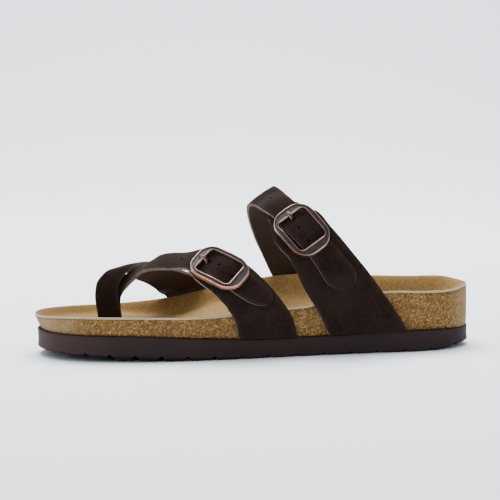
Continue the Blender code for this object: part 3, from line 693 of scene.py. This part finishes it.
def cork_look():
    """Pressed cork: granules of ochre, tan and red-brown, with dark specks; painted light makes it
    paler at the toe and heel ends.
    """
    n = Look("cork")
    stir = n.add("ShaderNodeTexNoise", Vector=n.place, Scale=500.0).outputs["Color"]
    warp = n.mix(0.0012, n.place, stir, "ADD")
    large = n.cells(1250, warp)
    small = n.cells(2300, warp)
    granules = n.ramp(n.channel(large, 0), (
        (0.0, (0.045, 0.017, 0.006)), (0.16, (0.080, 0.036, 0.010)), (0.42, (0.140, 0.071, 0.018)),
        (0.68, (0.190, 0.104, 0.028)), (0.88, (0.285, 0.172, 0.052)), (1.0, (0.440, 0.290, 0.110))))
    fine = n.ramp(n.channel(small, 1), (
        (0.0, (0.055, 0.022, 0.008)), (0.30, (0.112, 0.055, 0.014)), (0.72, (0.180, 0.100, 0.028)),
        (1.0, (0.420, 0.280, 0.095))))
    colour = n.mix(0.30, granules, fine)
    specks = n.math("LESS_THAN", n.channel(small, 2), 0.12)
    colour = n.mix(n.math("MULTIPLY", specks, 0.8), colour, (0.034, 0.014, 0.008))
    cloud = n.noise(45, 3.0)
    colour = n.mix(n.band(cloud, 0.35, 0.7, 0.0, 0.25), colour, (0.135, 0.063, 0.016))
    # Painted light: the cork is mixed paler towards the toe and heel ends.
    pale = painted_end_light(n, (0.38, 0.49), (0.44, 0.51))
    colour = n.mix(n.math("MULTIPLY", pale, 0.70), colour, (0.285, 0.195, 0.100))
    n.surface(colour, 0.88, specular=0.2)
    n.bump((large.outputs["Distance"], 0.0004, 0.35), (small.outputs["Distance"], 0.0003, 0.4),
           (n.noise(2400, 2.0), 0.0001, 0.4))
    return n.made


def liner_look():
    """Tan suede of the bed: a short nap, with painted shade that makes the walls and the toe darker
    than the floor.
    """
    n = Look("liner")
    nap = n.noise(1700, 4.0, 0.7)
    patches = n.noise(110, 4.0, 0.6)
    # Painted shade: the walls get a darker colour than the floor, blended by the stored floor
    # share.
    wall = n.mix(n.band(nap, 0.35, 0.68), (0.150, 0.082, 0.0250), (0.240, 0.143, 0.048))
    floor = n.mix(n.band(nap, 0.35, 0.68), (0.195, 0.114, 0.038), (0.270, 0.168, 0.062))
    colour = n.mix(n.band(n.attribute("floor"), 0.25, 0.85), wall, floor)
    colour = n.mix(n.band(patches, 0.42, 0.72, 0.0, 0.30), colour, (0.170, 0.092, 0.026))
    flecks = n.noise(1000, 2.0, 0.5)
    colour = n.mix(n.band(flecks, 0.36, 0.50, 0.30, 0.0), colour, (0.085, 0.042, 0.011))
    colour = n.mix(n.band(flecks, 0.52, 0.66, 0.0, 0.28), colour, (0.400, 0.260, 0.095))
    # Painted shade: the liner is mixed darker towards the toe.
    toe = n.band(n.axis("X"), -LENGTH * 0.30, -LENGTH * 0.44)
    colour = n.mix(n.math("MULTIPLY", toe, 0.7), colour, (0.130, 0.072, 0.022))
    n.surface(colour, 0.95, sheen=0.06, tint=(0.95, 0.75, 0.50), specular=0.1)
    n.bump((patches, 0.0003, 0.2), (nap, 0.0003, 0.55))
    return n.made


def rim_look():
    """Cut edge of the bed's suede, a pale fuzzy line."""
    n = Look("rim_edge")
    fuzz = n.noise(1300, 4.0, 0.7)
    colour = n.mix(n.band(fuzz, 0.34, 0.66), (0.290, 0.212, 0.120), (0.460, 0.360, 0.228))
    n.surface(colour, 0.95, sheen=0.3, tint=(1.0, 0.95, 0.85), specular=0.15)
    n.bump((fuzz, 0.0005, 0.8))
    return n.made


def foam_look():
    """Foam outsole: matte red-brown with a pebbled skin, with painted shade where it faces the
    floor and a painted highlight at the toe.
    """
    n = Look("foam")
    skin = n.noise(1100, 3.0, 0.6)
    slow = n.noise(60, 4.0, 0.6)
    colour = n.mix(n.band(slow, 0.35, 0.68), (0.0130, 0.0058, 0.0055), (0.0192, 0.0091, 0.0087))
    colour = n.mix(n.band(skin, 0.55, 0.75, 0.0, 0.3), colour, (0.032, 0.018, 0.017))
    # Painted highlight: the foam is mixed paler towards the toe end.
    toe = n.band(n.axis("X"), -LENGTH * 0.30, -LENGTH * 0.50)
    colour = n.mix(n.math("MULTIPLY", toe, 0.6), colour, (0.054, 0.026, 0.024))
    # Painted shade: faces that look down to the floor are mixed near black.
    facing = n.axis("Z", n.where["Normal"])
    colour = n.mix(n.band(facing, -0.25, -0.6, 0.0, 0.8), colour, (0.004, 0.003, 0.003))
    n.surface(colour, n.band(slow, 0.3, 0.7, 0.68, 0.80), specular=0.2)
    n.bump((n.cells(800).outputs["Distance"], 0.0002, 0.2), (skin, 0.00015, 0.35))
    return n.made


def copper_look():
    """Rubbed copper plate on the ring's edges, with darker marks where it is less worn."""
    n = Look("copper")
    marks = n.noise(260, 5.0, 0.65)
    fine = n.noise(1500, 3.0)
    colour = n.mix(n.band(marks, 0.42, 0.70), (0.520, 0.255, 0.165), (0.200, 0.105, 0.085))
    colour = n.mix(n.band(fine, 0.50, 0.72, 0.0, 0.5), colour, (0.700, 0.410, 0.290))
    n.surface(colour, n.band(marks, 0.35, 0.7, 0.26, 0.44), metallic=1.0)
    n.bump((marks, 0.0001, 0.25), (fine, 0.00005, 0.3))
    return n.made


def recess_look():
    """Blackened recess of the ring: dark grey with copper showing through."""
    n = Look("recess")
    marks = n.noise(420, 5.0, 0.7)
    colour = n.mix(n.band(marks, 0.35, 0.62), (0.008, 0.007, 0.009), (0.025, 0.022, 0.026))
    colour = n.mix(n.band(marks, 0.62, 0.78, 0.0, 0.6), colour, (0.220, 0.115, 0.085))
    n.surface(colour, n.band(marks, 0.3, 0.7, 0.48, 0.64), metallic=0.05, specular=0.25)
    n.bump((n.noise(1400, 4.0, 0.7), 0.00012, 0.5))
    return n.made


def mesh_piece(name, bm, looks):
    """Turn a bmesh into a smooth shaded piece with its materials."""
    bmesh.ops.recalc_face_normals(bm, faces=bm.faces)
    mesh = bpy.data.meshes.new(name)
    bm.to_mesh(mesh)
    bm.free()
    mesh.shade_smooth()
    for look in looks:
        mesh.materials.append(look)
    piece = bpy.data.objects.new(name, mesh)
    bpy.context.scene.collection.objects.link(piece)
    return piece


def loft(bm, rings, wrap=True, slots=None, caps=None, values=None, layer=None):
    """Quads through rings of points. slots gives the material of each face from its row and place,
    caps the one of both ends, and values a number per point for the given attribute layer."""
    rows = []
    for i, ring in enumerate(rings):
        row = []
        for j, point in enumerate(ring):
            vert = bm.verts.new(point)
            if layer is not None:
                vert[layer] = values[i][j]
            row.append(vert)
        rows.append(row)
    for row, (lower, upper) in enumerate(zip(rows, rows[1:])):
        count = len(lower)
        for i in range(count if wrap else count - 1):
            j = (i + 1) % count
            corners = []
            for vert in (lower[i], lower[j], upper[j], upper[i]):
                if vert not in corners:
                    corners.append(vert)
            face = bm.faces.new(corners)
            face.material_index = slots(row, i) if slots else 0
    if caps is not None:
        for row in (rows[0], rows[-1]):
            bm.faces.new(row).material_index = caps
    return rows


def bevel(piece, width, angle=42, segments=3, slot=-1):
    """Round the sharp edges."""
    modifier = piece.modifiers.new("round", "BEVEL")
    modifier.width = width
    modifier.segments = segments
    modifier.limit_method = "ANGLE"
    modifier.angle_limit = radians(angle)
    modifier.material = slot
    modifier.use_clamp_overlap = True


def settle(piece):
    """Apply the modifiers to the piece's own mesh."""
    shown = piece.evaluated_get(bpy.context.evaluated_depsgraph_get())
    mesh = bpy.data.meshes.new_from_object(shown)
    piece.modifiers.clear()
    old = piece.data
    piece.data = mesh
    bpy.data.meshes.remove(old)


def join(piece, other, operation):
    """Add or take away another body, and drop it."""
    modifier = piece.modifiers.new("join", "BOOLEAN")
    modifier.operation = operation
    modifier.solver = "EXACT"
    modifier.object = other
    settle(piece)
    bpy.data.objects.remove(other, do_unlink=True)


def reshape(piece, bodies, operation, slot=0, caps=1):
    """Add or take away bodies given by their rings, with their faces in the piece's materials."""
    bm = bmesh.new()
    for rings in bodies:
        loft(bm, rings, slots=lambda row, place: slot, caps=caps)
    join(piece, mesh_piece("form", bm, piece.data.materials), operation)


def sole_points(way_in, step, height):
    """One ring of the sole: its edge moved in by a step and by a share of the way to the spine."""
    points = []
    for point, out in zip(EDGE, OUTWARD):
        place = (point - out * step).lerp(spine_point(point), way_in)
        place.z = height(place.x, point)
        points.append(place)
    return points


def underside(x):
    """Height of the tread at x."""
    return spring(x) + HEEL_BEVEL * smooth((share(x) - 0.89) / 0.11)


def edge_lift(x):
    """How far the chamfer lifts the lower edge."""
    return EDGE_ROUND * (0.4 + 0.5 * smooth((0.55 - share(x)) / 0.3) * smooth(share(x) / 0.14))


def make_outsole():
    """Foam outsole with a chamfered foot, a slightly hollow wall and wavy tread grooves."""
    rings = []
    for way_in in (1, 0.8, 0.6, 0.4, 0.2):
        rings.append(sole_points(way_in, 0, lambda x, p: underside(x)))
    for reach, rise in EDGE_PROFILE:
        rings.append(sole_points(0, EDGE_ROUND * reach,
                                 lambda x, p: underside(x) + edge_lift(p.x) * rise))
    for rise in (0.25, 0.5, 0.75):
        hollow = WALL_HOLLOW * 4 * rise * (1 - rise)
        rings.append(sole_points(
            0, hollow, lambda x, p: (underside(x) + edge_lift(p.x)) * (1 - rise)
            + (sole_top(x) - TOP_ROUND) * rise))
    for degrees in (0, 30, 60, 90):
        step = TOP_ROUND * (1 - cos(radians(degrees)))
        drop = TOP_ROUND * (1 - sin(radians(degrees)))
        rings.append(sole_points(0, step, lambda x, p: sole_top(x) - drop))
    for way_in in (0.15, 0.4, 0.7, 1):
        rings.append(sole_points(way_in, 0, lambda x, p: sole_top(x)))
    bm = bmesh.new()
    loft(bm, rings)
    bmesh.ops.remove_doubles(bm, verts=bm.verts, dist=MERGE)
    outsole = mesh_piece("outsole_foam", bm, [foam])

    grooves = []
    count = int(LENGTH * 0.95 / TREAD_PITCH)
    for k in range(count + 1):
        x = (k - count / 2) * TREAD_PITCH
        deep = max(TREAD_DEPTH, edge_lift(x) + NOTCH)
        top = underside(x) + deep
        rows = []
        for i in range(TREAD_STEPS + 1):
            y = BALL * 0.6 * (2 * i / TREAD_STEPS - 1)
            wave = TREAD_WAVE * sin(2 * pi * y / TREAD_WAVELENGTH)
            rows.append([(x + wave + across * TREAD_WIDTH, y, top + rise * deep)
                         for across, rise in TREAD_PROFILE])
        grooves.append(rows)
    reshape(outsole, grooves, "DIFFERENCE", caps=0)
    outsole.data.set_sharp_from_angle(angle=radians(50))
    return outsole


def bed_surface():
    """Grid of the bed's upper face, ring by ring from the rim, with normals and share of floor, the
    mask of the liner's painted wall shade.
    """
    grid, floors = [], []
    for way_in in BED_RINGS:
        points, shares = [], []
        for point, out in zip(EDGE, OUTWARD):
            rim = point - out * rim_step(point.x)
            centre = spine_point(point)
            place = rim.lerp(centre, way_in)
            floor, arch, wall = curve(FLOOR, share(place.x))
            rise = arch * smooth((place.y - mid_y(place.x)) / (BALL * 0.42))
            low = spring(place.x) + HEEL_RIM * (floor + rise)
            inward = (rim - centre).length * way_in / (HEEL_RIM * wall)
            drop = smooth((inward - 0.1) / 0.9)
            place.z = rim_height(point.x, point.y) * (1 - drop) + low * drop
            points.append(place)
            shares.append(smooth((inward - 0.35) / 0.65))
        grid.append(points)
        floors.append(shares)
    normals = []
    for i, points in enumerate(grid):
        row = []
        for j in range(len(points)):
            if i in (0, len(grid) - 1):
                row.append(Vector((0, 0, 1)))
                continue
            around = points[(j + 1) % len(points)] - points[j - 1]
            normal = around.cross(grid[i + 1][j] - grid[i - 1][j]).normalized()
            row.append(normal if normal.z > 0 else -normal)
        normals.append(row)
    return grid, normals, floors


def make_bed():
    """Cork body and the suede skin on it, before the toe post's slot is cut."""
    grid, normals, floors = bed_surface()

    def depth(down):
        return [[p - n * down for p, n in zip(points, row)] for points, row in zip(grid, normals)]

    skin = bmesh.new()
    floor_layer = skin.verts.layers.float.new("floor")
    lower = depth(LINER)[::-1]
    last = len(lower) - 1
    loft(skin, lower + depth(0), values=floors[::-1] + floors, layer=floor_layer,
         slots=lambda row, place: 1 if row in (last, last + 1) else 0)
    bmesh.ops.remove_doubles(skin, verts=skin.verts, dist=MERGE)
    insole = mesh_piece("bed_suede", skin, [liner, rim_edge])
    bevel(insole, RIM_BEVEL, angle=50, slot=1)
    settle(insole)

    top = depth(LINER)
    foot = []
    for point, out in zip(EDGE, OUTWARD):
        place = point - out * CORK_STEP * (1 - 0.7 * smooth((share(point.x) - 0.92) / 0.08))
        place.z = sole_top(place.x) + GAP
        foot.append(place)
    rings = [sole_points(1, 0, lambda x, p: sole_top(x) + GAP),
             sole_points(0.5, CORK_STEP, lambda x, p: sole_top(x) + GAP)]
    steps = 8
    for i in range(steps):
        rise = i / steps
        bulge = CORK_STEP * 0.48 * rise * (1 - rise)
        rings.append([low.lerp(high, rise) + out * bulge
                      for low, high, out in zip(foot, top[0], OUTWARD)])
    body = bmesh.new()
    loft(body, rings + top)
    bmesh.ops.remove_doubles(body, verts=body.verts, dist=MERGE)
    cork_body = mesh_piece("cork_body", body, [cork])
    return cork_body, insole


def strap_lift(seat, top_row):
    """Height of a tongue strap's outer face over its band, coming down past the quarter's end."""
    def lift(place, point):
        row, across = place
        end = top_row - QUARTER_ROUND * (1 - sqrt(max(0.0, 1 - (2 * across - 1) ** 2)))
        on_quarter = 1 - smooth((row - end) / LIFT_OFF)
        away = min(abs(seat.along(point)) / HUMP_REACH, 1.0)
        return on_quarter * (STRAP + GAP) + HUMP * cos(away * pi / 2) ** 2
    return lift


def no_lift(place, point):
    """A layer whose outer face is its band."""
    return 0.0


def stations(cut, steps, round_start=0.0, round_end=0.0):
    """Rows of a layer with the width left at each, for square or rounded ends."""
    first, last = cut[0][0], cut[-1][0]
    angles = [radians(a) for a in (87, 80, 72, 63, 54, 45, 36, 27, 18, 9)]
    rows = []
    if round_start:
        rows += [(first + round_start * (1 - sin(a)), cos(a)) for a in angles]
    low = first + round_start
    high = last - round_end
    rows += [(low + (high - low) * i / steps, 1.0) for i in range(steps + 1)]
    if round_end:
        rows += [(last - round_end * (1 - sin(a)), cos(a)) for a in angles[::-1]]
    return rows


def leather(name, rows, cut, places, wall, lift):
    """A strap on a band, with its own wall, cut edges and lining, and worn edges marked on it."""
    bm = bmesh.new()
    worn_layer = bm.verts.layers.float.new("worn")
    sections, values = [], []
    steps = len(ACROSS) - 1
    for row, width in places:
        outer, inner, worn = [], [], []
        for way in ACROSS:
            place = cut_place(cut, row, 0.5 + (way - 0.5) * width)
            base = band_point(rows, *place)
            normal = band_normal(rows, *place)
            ripple = RIPPLE * noise.noise(base * RIPPLE_SCALE)
            top = base + normal * (lift(place, base) + ripple)
            low = top - normal * wall
            low.z = max(low.z, sole_top(low.x) + GAP)
            outer.append(top)
            inner.append(low)
        for point in outer:
            reach = min((point - outer[0]).length, (point - outer[-1]).length)
            worn.append(max(0.0, 1 - reach / WORN_REACH))
        sections.append(outer + inner[::-1])
        values.append(worn + [0.0] * len(inner))

    def slots(row, place):
        if place < steps:
            return 0
        return 2 if steps < place < 2 * steps + 1 else 1

    loft(bm, sections, slots=slots, caps=1, values=values, layer=worn_layer)
    bmesh.ops.remove_doubles(bm, verts=bm.verts, dist=MERGE)
    piece = mesh_piece(name, bm, [suede, cut_edge, lining])
    bevel(piece, EDGE_BEVEL, slot=1)
    settle(piece)
    return piece


def punch(piece, rows, cut, lift, holes):
    """Round holes through a strap, each at a row and a share across its cut."""
    pins = []
    for row, across in holes:
        place = cut_place(cut, row, across)
        base = band_point(rows, *place)
        normal = band_normal(rows, *place)
        middle = base + normal * (lift(place, base) - STRAP / 2)
        side = normal.orthogonal().normalized()
        other = normal.cross(side)
        pins.append([[middle + normal * end + (side * c + other * s) * HOLE for c, s in CIRCLE]
                     for end in (-STRAP * 1.2, STRAP * 1.2)])
    reshape(piece, pins, "DIFFERENCE")


def rounded_loop(half_length, half_width, radius):
    """A rounded rectangle with evenly split straights, the same number of points for every size."""
    corners = []
    for corner in range(4):
        centre_u = (1 if corner in (0, 3) else -1) * (half_length - radius)
        centre_v = (1 if corner in (0, 1) else -1) * (half_width - radius)
        corners.append([(centre_u + radius * cos((corner + k / 10) * pi / 2),
                         centre_v + radius * sin((corner + k / 10) * pi / 2)) for k in range(11)])
    loop = []
    for corner, after in zip(corners, corners[1:] + corners[:1]):
        loop += corner
        (u, v), (next_u, next_v) = corner[-1], after[0]
        loop += [(u + (next_u - u) * k / 8, v + (next_v - v) * k / 8) for k in range(1, 8)]
    return loop


def make_buckle(name, seat, far_side):
    """Cast ring with a blackened channel, its lugs and its cross bar, the last two in the dark
    recess finish as painted shade.
    """
    def near(v):
        """Place across the ring, whose side away from the toe stands closer in."""
        return v * far_side if v < 0 else v

    half_u, half_v = BUCKLE_LENGTH / 2 / (1 + BARREL), BUCKLE_WIDTH / 2 / (1 + BARREL)
    outer = [(u * (1 + BARREL * (1 - (v / half_v) ** 2)),
              v * (1 + BARREL * (1 - (u / half_u) ** 2)))
             for u, v in rounded_loop(half_u, half_v, BUCKLE_WIDTH * 0.34)]
    side = BUCKLE_WIDTH / 2 - SIDE_RAIL
    inner = rounded_loop(BUCKLE_LENGTH / 2 - END_RAIL, side, BUCKLE_WIDTH * 0.09)
    sections = []
    for (uo, vo), (ui, vi) in zip(outer, inner):
        sections.append([seat.bent(uo + (ui - uo) * a, near(vo + (vi - vo) * a),
                                   RING_SEAT + h * RING_HEIGHT) for a, h, _ in RING_SECTION])
    bm = bmesh.new()
    loft(bm, sections + [sections[0]], slots=lambda row, place: RING_SECTION[place][2])
    bmesh.ops.remove_doubles(bm, verts=bm.verts, dist=FINE_MERGE)
    body = mesh_piece(name + "_cast", bm, [copper, recess])

    # Painted shade: the cross bar takes the dark recess finish, so no copper glints in the gap
    # beside the strap.
    bar = [[seat.flat(BAR / 2 * c, near(end * (side + SIDE_RAIL * 0.35)), BAR_HEIGHT + BAR / 2 * s)
            for c, s in CIRCLE] for end in (-1, 1)]
    reshape(body, [bar], "UNION", slot=1)
    high = RING_SEAT + RING_HEIGHT * 0.3
    for sign in (-1, 1):
        low = max(seat.height(0, near(sign * (side + SIDE_RAIL * 0.45))) + GAP, BAR_HEIGHT - BAR)
        lug = []
        for half, far, n in ((BAR * 1.1, 0.45, low), (BUCKLE_LENGTH * 0.13, 0.9, high)):
            inside, edge = side + SIDE_RAIL * 0.1, side + SIDE_RAIL * far
            lug.append([seat.flat(u, near(sign * v), n)
                        for u, v in ((-half, inside), (half, inside), (half, edge), (-half, edge))])
        # Painted shade: each lug takes the dark recess finish too.
        reshape(body, [lug], "UNION", slot=1)
    half = PRONG_WIDTH / 2 + GAP
    low, high = RING_SEAT + RING_HEIGHT * 0.73, RING_SEAT + RING_HEIGHT * 2
    section = ((-half, low), (-half, high), (half, high), (half, low))
    notch = [[seat.bent(u, v, n) for v, n in section]
             for u in (side, BUCKLE_LENGTH / 2 - END_RAIL * 0.5)]
    reshape(body, [notch], "DIFFERENCE")
    bevel(body, RING_BEVEL, angle=24, segments=2)
    settle(body)
    return body


def make_prong(name, seat):
    """Pin bent round the bar, up through the strap and into the ring's notch, with soft edges."""
    hook = [(-HOOK_REACH * cos(radians(a)), BAR_HEIGHT + HOOK_REACH * sin(radians(a)))
            for a in range(-20, 156, 25)]
    top = RING_SEAT + RING_HEIGHT * 0.74 + GAP + PRONG_WALL / 2
    inner = BUCKLE_LENGTH / 2 - END_RAIL
    under = GAP + PRONG_WALL / 2
    path = hook + [(inner * 0.22, under), (inner * 0.67, under), (inner * 0.81, under + 1.0 * MM),
                   (inner * 0.94, top - 0.5 * MM), (inner * 1.03, top),
                   (inner + END_RAIL * 0.55, top)]
    bm = bmesh.new()
    sections = []
    for i, (u, n) in enumerate(path):
        ahead, behind = path[min(i + 1, len(path) - 1)], path[max(i - 1, 0)]
        along_u, along_n = ahead[0] - behind[0], ahead[1] - behind[1]
        size = sqrt(along_u ** 2 + along_n ** 2)
        half = PRONG_WIDTH / 2 * (0.75 if i == len(path) - 1 else 1)
        section = []
        for degrees in range(0, 360, 30):
            across = half * max(-1.0, min(1.0, 1.25 * cos(radians(degrees))))
            off = PRONG_WALL / 2 * max(-1.0, min(1.0, 1.25 * sin(radians(degrees))))
            section.append(seat.bent(u - along_n / size * off, across, n + along_u / size * off))
        sections.append(section)
    loft(bm, sections, slots=lambda row, place: 1 if place in PIN_TOP else 0, caps=0)
    return mesh_piece(name + "_pin", bm, [copper, recess])


def cut_prong_hole(strap, seat):
    """Oval hole of a strap where its prong comes up."""
    inner = BUCKLE_LENGTH / 2 - END_RAIL
    half_u = inner * 0.20
    half_v = PRONG_WIDTH / 2 + 2 * GAP
    oval = [(inner * 0.79 + half_u * cos(k * pi / 12), half_v * sin(k * pi / 12))
            for k in range(24)]
    rings = [[seat.bent(u, v, n) for u, v in oval] for n in (-0.2 * MM, HUMP + STRAP + 3 * MM)]
    reshape(strap, [rings], "DIFFERENCE")


def cut_post_slot(body):
    """Slot for the toe post, from the straps' own extent in the CAD below the bed's surface."""
    points = [v.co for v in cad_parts["toe_straps"].data.vertices]
    depth = [p for p in points if p.z < rim_height(p.x, mid_y(p.x))
             and abs(p.y - mid_y(p.x)) < BALL * 0.3]
    low = [min(p[i] for p in depth) - GAP for i in (0, 1)]
    high = [max(p[i] for p in depth) + GAP for i in (0, 1)]
    corners = ((low[0], low[1]), (high[0], low[1]), (high[0], high[1]), (low[0], high[1]))
    rings = [[(x, y, z) for x, y in corners] for z in (0, HEEL_RIM * 2)]
    reshape(body, [rings], "DIFFERENCE", caps=0)


def stand_for(piece, node):
    """The piece stands for a CAD node, which is hidden, and hangs from the root body."""
    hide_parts(node)
    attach(piece, "root")


def make_studio():
    """Pale floor that curves up behind, and soft light from all round, most of it from above."""
    bm = bmesh.new()
    profile = [(-3.0, 0.0), (-1.0, 0.0), (0.6, 0.0), (1.2, 0.0)]
    profile += [(1.2 + 0.8 * sin(radians(a)), 0.8 * (1 - cos(radians(a))))
                for a in range(10, 91, 10)]
    profile += [(2.0, 3.0)]
    loft(bm, [[Vector((x, y, z)) for y, z in profile] for x in (-3.0, 3.0)], wrap=False)
    n = Look("studio")
    n.surface((0.85, 0.90, 0.97), 0.9, specular=0.1)
    studio = mesh_piece("studio_floor", bm, [n.made])

    world = bpy.data.worlds.new("studio_air")
    bpy.context.scene.world = world
    world.use_nodes = True
    air = world.node_tree.nodes["Background"].inputs
    air["Color"].default_value = (0.93, 0.96, 1.0, 1.0)
    air["Strength"].default_value = AIR_LIGHT
    for name, place, size, power in LIGHTS:
        lamp = bpy.data.lights.new(name, "AREA")
        lamp.size = size
        lamp.energy = power
        holder = bpy.data.objects.new(name, lamp)
        bpy.context.scene.collection.objects.link(holder)
        holder.location = place
        holder.rotation_euler = (CAMERA_AIM - Vector(place)).to_track_quat("-Z", "Y").to_euler()


def make_camera():
    """The photograph's camera."""
    turn, rise, roll = radians(CAMERA_TURN), radians(CAMERA_RISE), radians(CAMERA_ROLL)
    back = Vector((sin(turn) * cos(rise), -cos(turn) * cos(rise), sin(rise)))
    level = (-back).cross(Vector((0, 0, 1))).normalized()
    upright = level.cross(-back)
    right = level * cos(roll) - upright * sin(roll)
    up = upright * cos(roll) + level * sin(roll)
    lens = bpy.data.cameras.new("photo_camera")
    lens.lens = LENS
    lens.sensor_width = SENSOR
    lens.clip_end = 20
    camera = bpy.data.objects.new("photo_camera", lens)
    bpy.context.scene.collection.objects.link(camera)
    axes = Matrix((right, up, back)).transposed().to_4x4()
    camera.matrix_world = Matrix.Translation(CAMERA_AIM + back * CAMERA_AWAY) @ axes
    bpy.context.scene.camera = camera


suede, cut_edge, lining = suede_look(), cut_edge_look(), lining_look()
cork, liner, rim_edge, foam = cork_look(), liner_look(), rim_look(), foam_look()
copper, recess = copper_look(), recess_look()

rear_band, front_band, toe_band = seated(REAR_BAND), seated(FRONT_BAND), seated(TOE_BAND)
rear_seat = Seat(rear_band, REAR_STRAP_CUT, REAR_BUCKLE_ROW)
front_seat = Seat(front_band, FRONT_STRAP_CUT, FRONT_BUCKLE_ROW)
rear_lift = strap_lift(rear_seat, REAR_QUARTER_CUT[-1][0])
front_lift = strap_lift(front_seat, FRONT_QUARTER_CUT[-1][0])

stand_for(make_outsole(), "outsole")
cork_body, insole = make_bed()
cut_post_slot(cork_body)
cut_post_slot(insole)
stand_for(cork_body, "cork_footbed")
stand_for(insole, "insole")

for node, band, cut, steps in (("rear_quarter", rear_band, REAR_QUARTER_CUT, 60),
                               ("front_quarter", front_band, FRONT_QUARTER_CUT, 54)):
    places = stations(cut, steps, round_end=QUARTER_ROUND)
    stand_for(leather(node + "_suede", band, cut, places, QUARTER, no_lift), node)

rear_strap = leather("rear_strap_suede", rear_band, REAR_STRAP_CUT,
                     stations(REAR_STRAP_CUT, 130, round_start=0.7), STRAP, rear_lift)
punch(rear_strap, rear_band, REAR_STRAP_CUT, rear_lift, REAR_HOLES)
cut_prong_hole(rear_strap, rear_seat)
stand_for(rear_strap, "rear_strap")

toe_straps = leather("toe_straps_suede", front_band, FRONT_STRAP_CUT,
                     stations(FRONT_STRAP_CUT, 130, round_start=0.9), STRAP, front_lift)
toe_loop = leather("toe_loop", toe_band, TOE_STRAP_CUT, stations(TOE_STRAP_CUT, 110), STRAP,
                   no_lift)
join(toe_straps, toe_loop, "UNION")
punch(toe_straps, front_band, FRONT_STRAP_CUT, front_lift, FRONT_HOLES)
cut_prong_hole(toe_straps, front_seat)
stand_for(toe_straps, "toe_straps")

for place, seat, far_side in (("front", front_seat, FRONT_FAR_SIDE),
                              ("rear", rear_seat, REAR_FAR_SIDE)):
    stand_for(make_buckle(place + "_buckle", seat, far_side), place + "_buckle")
    stand_for(make_prong(place + "_prong", seat), place + "_prong")

make_studio()
make_camera()
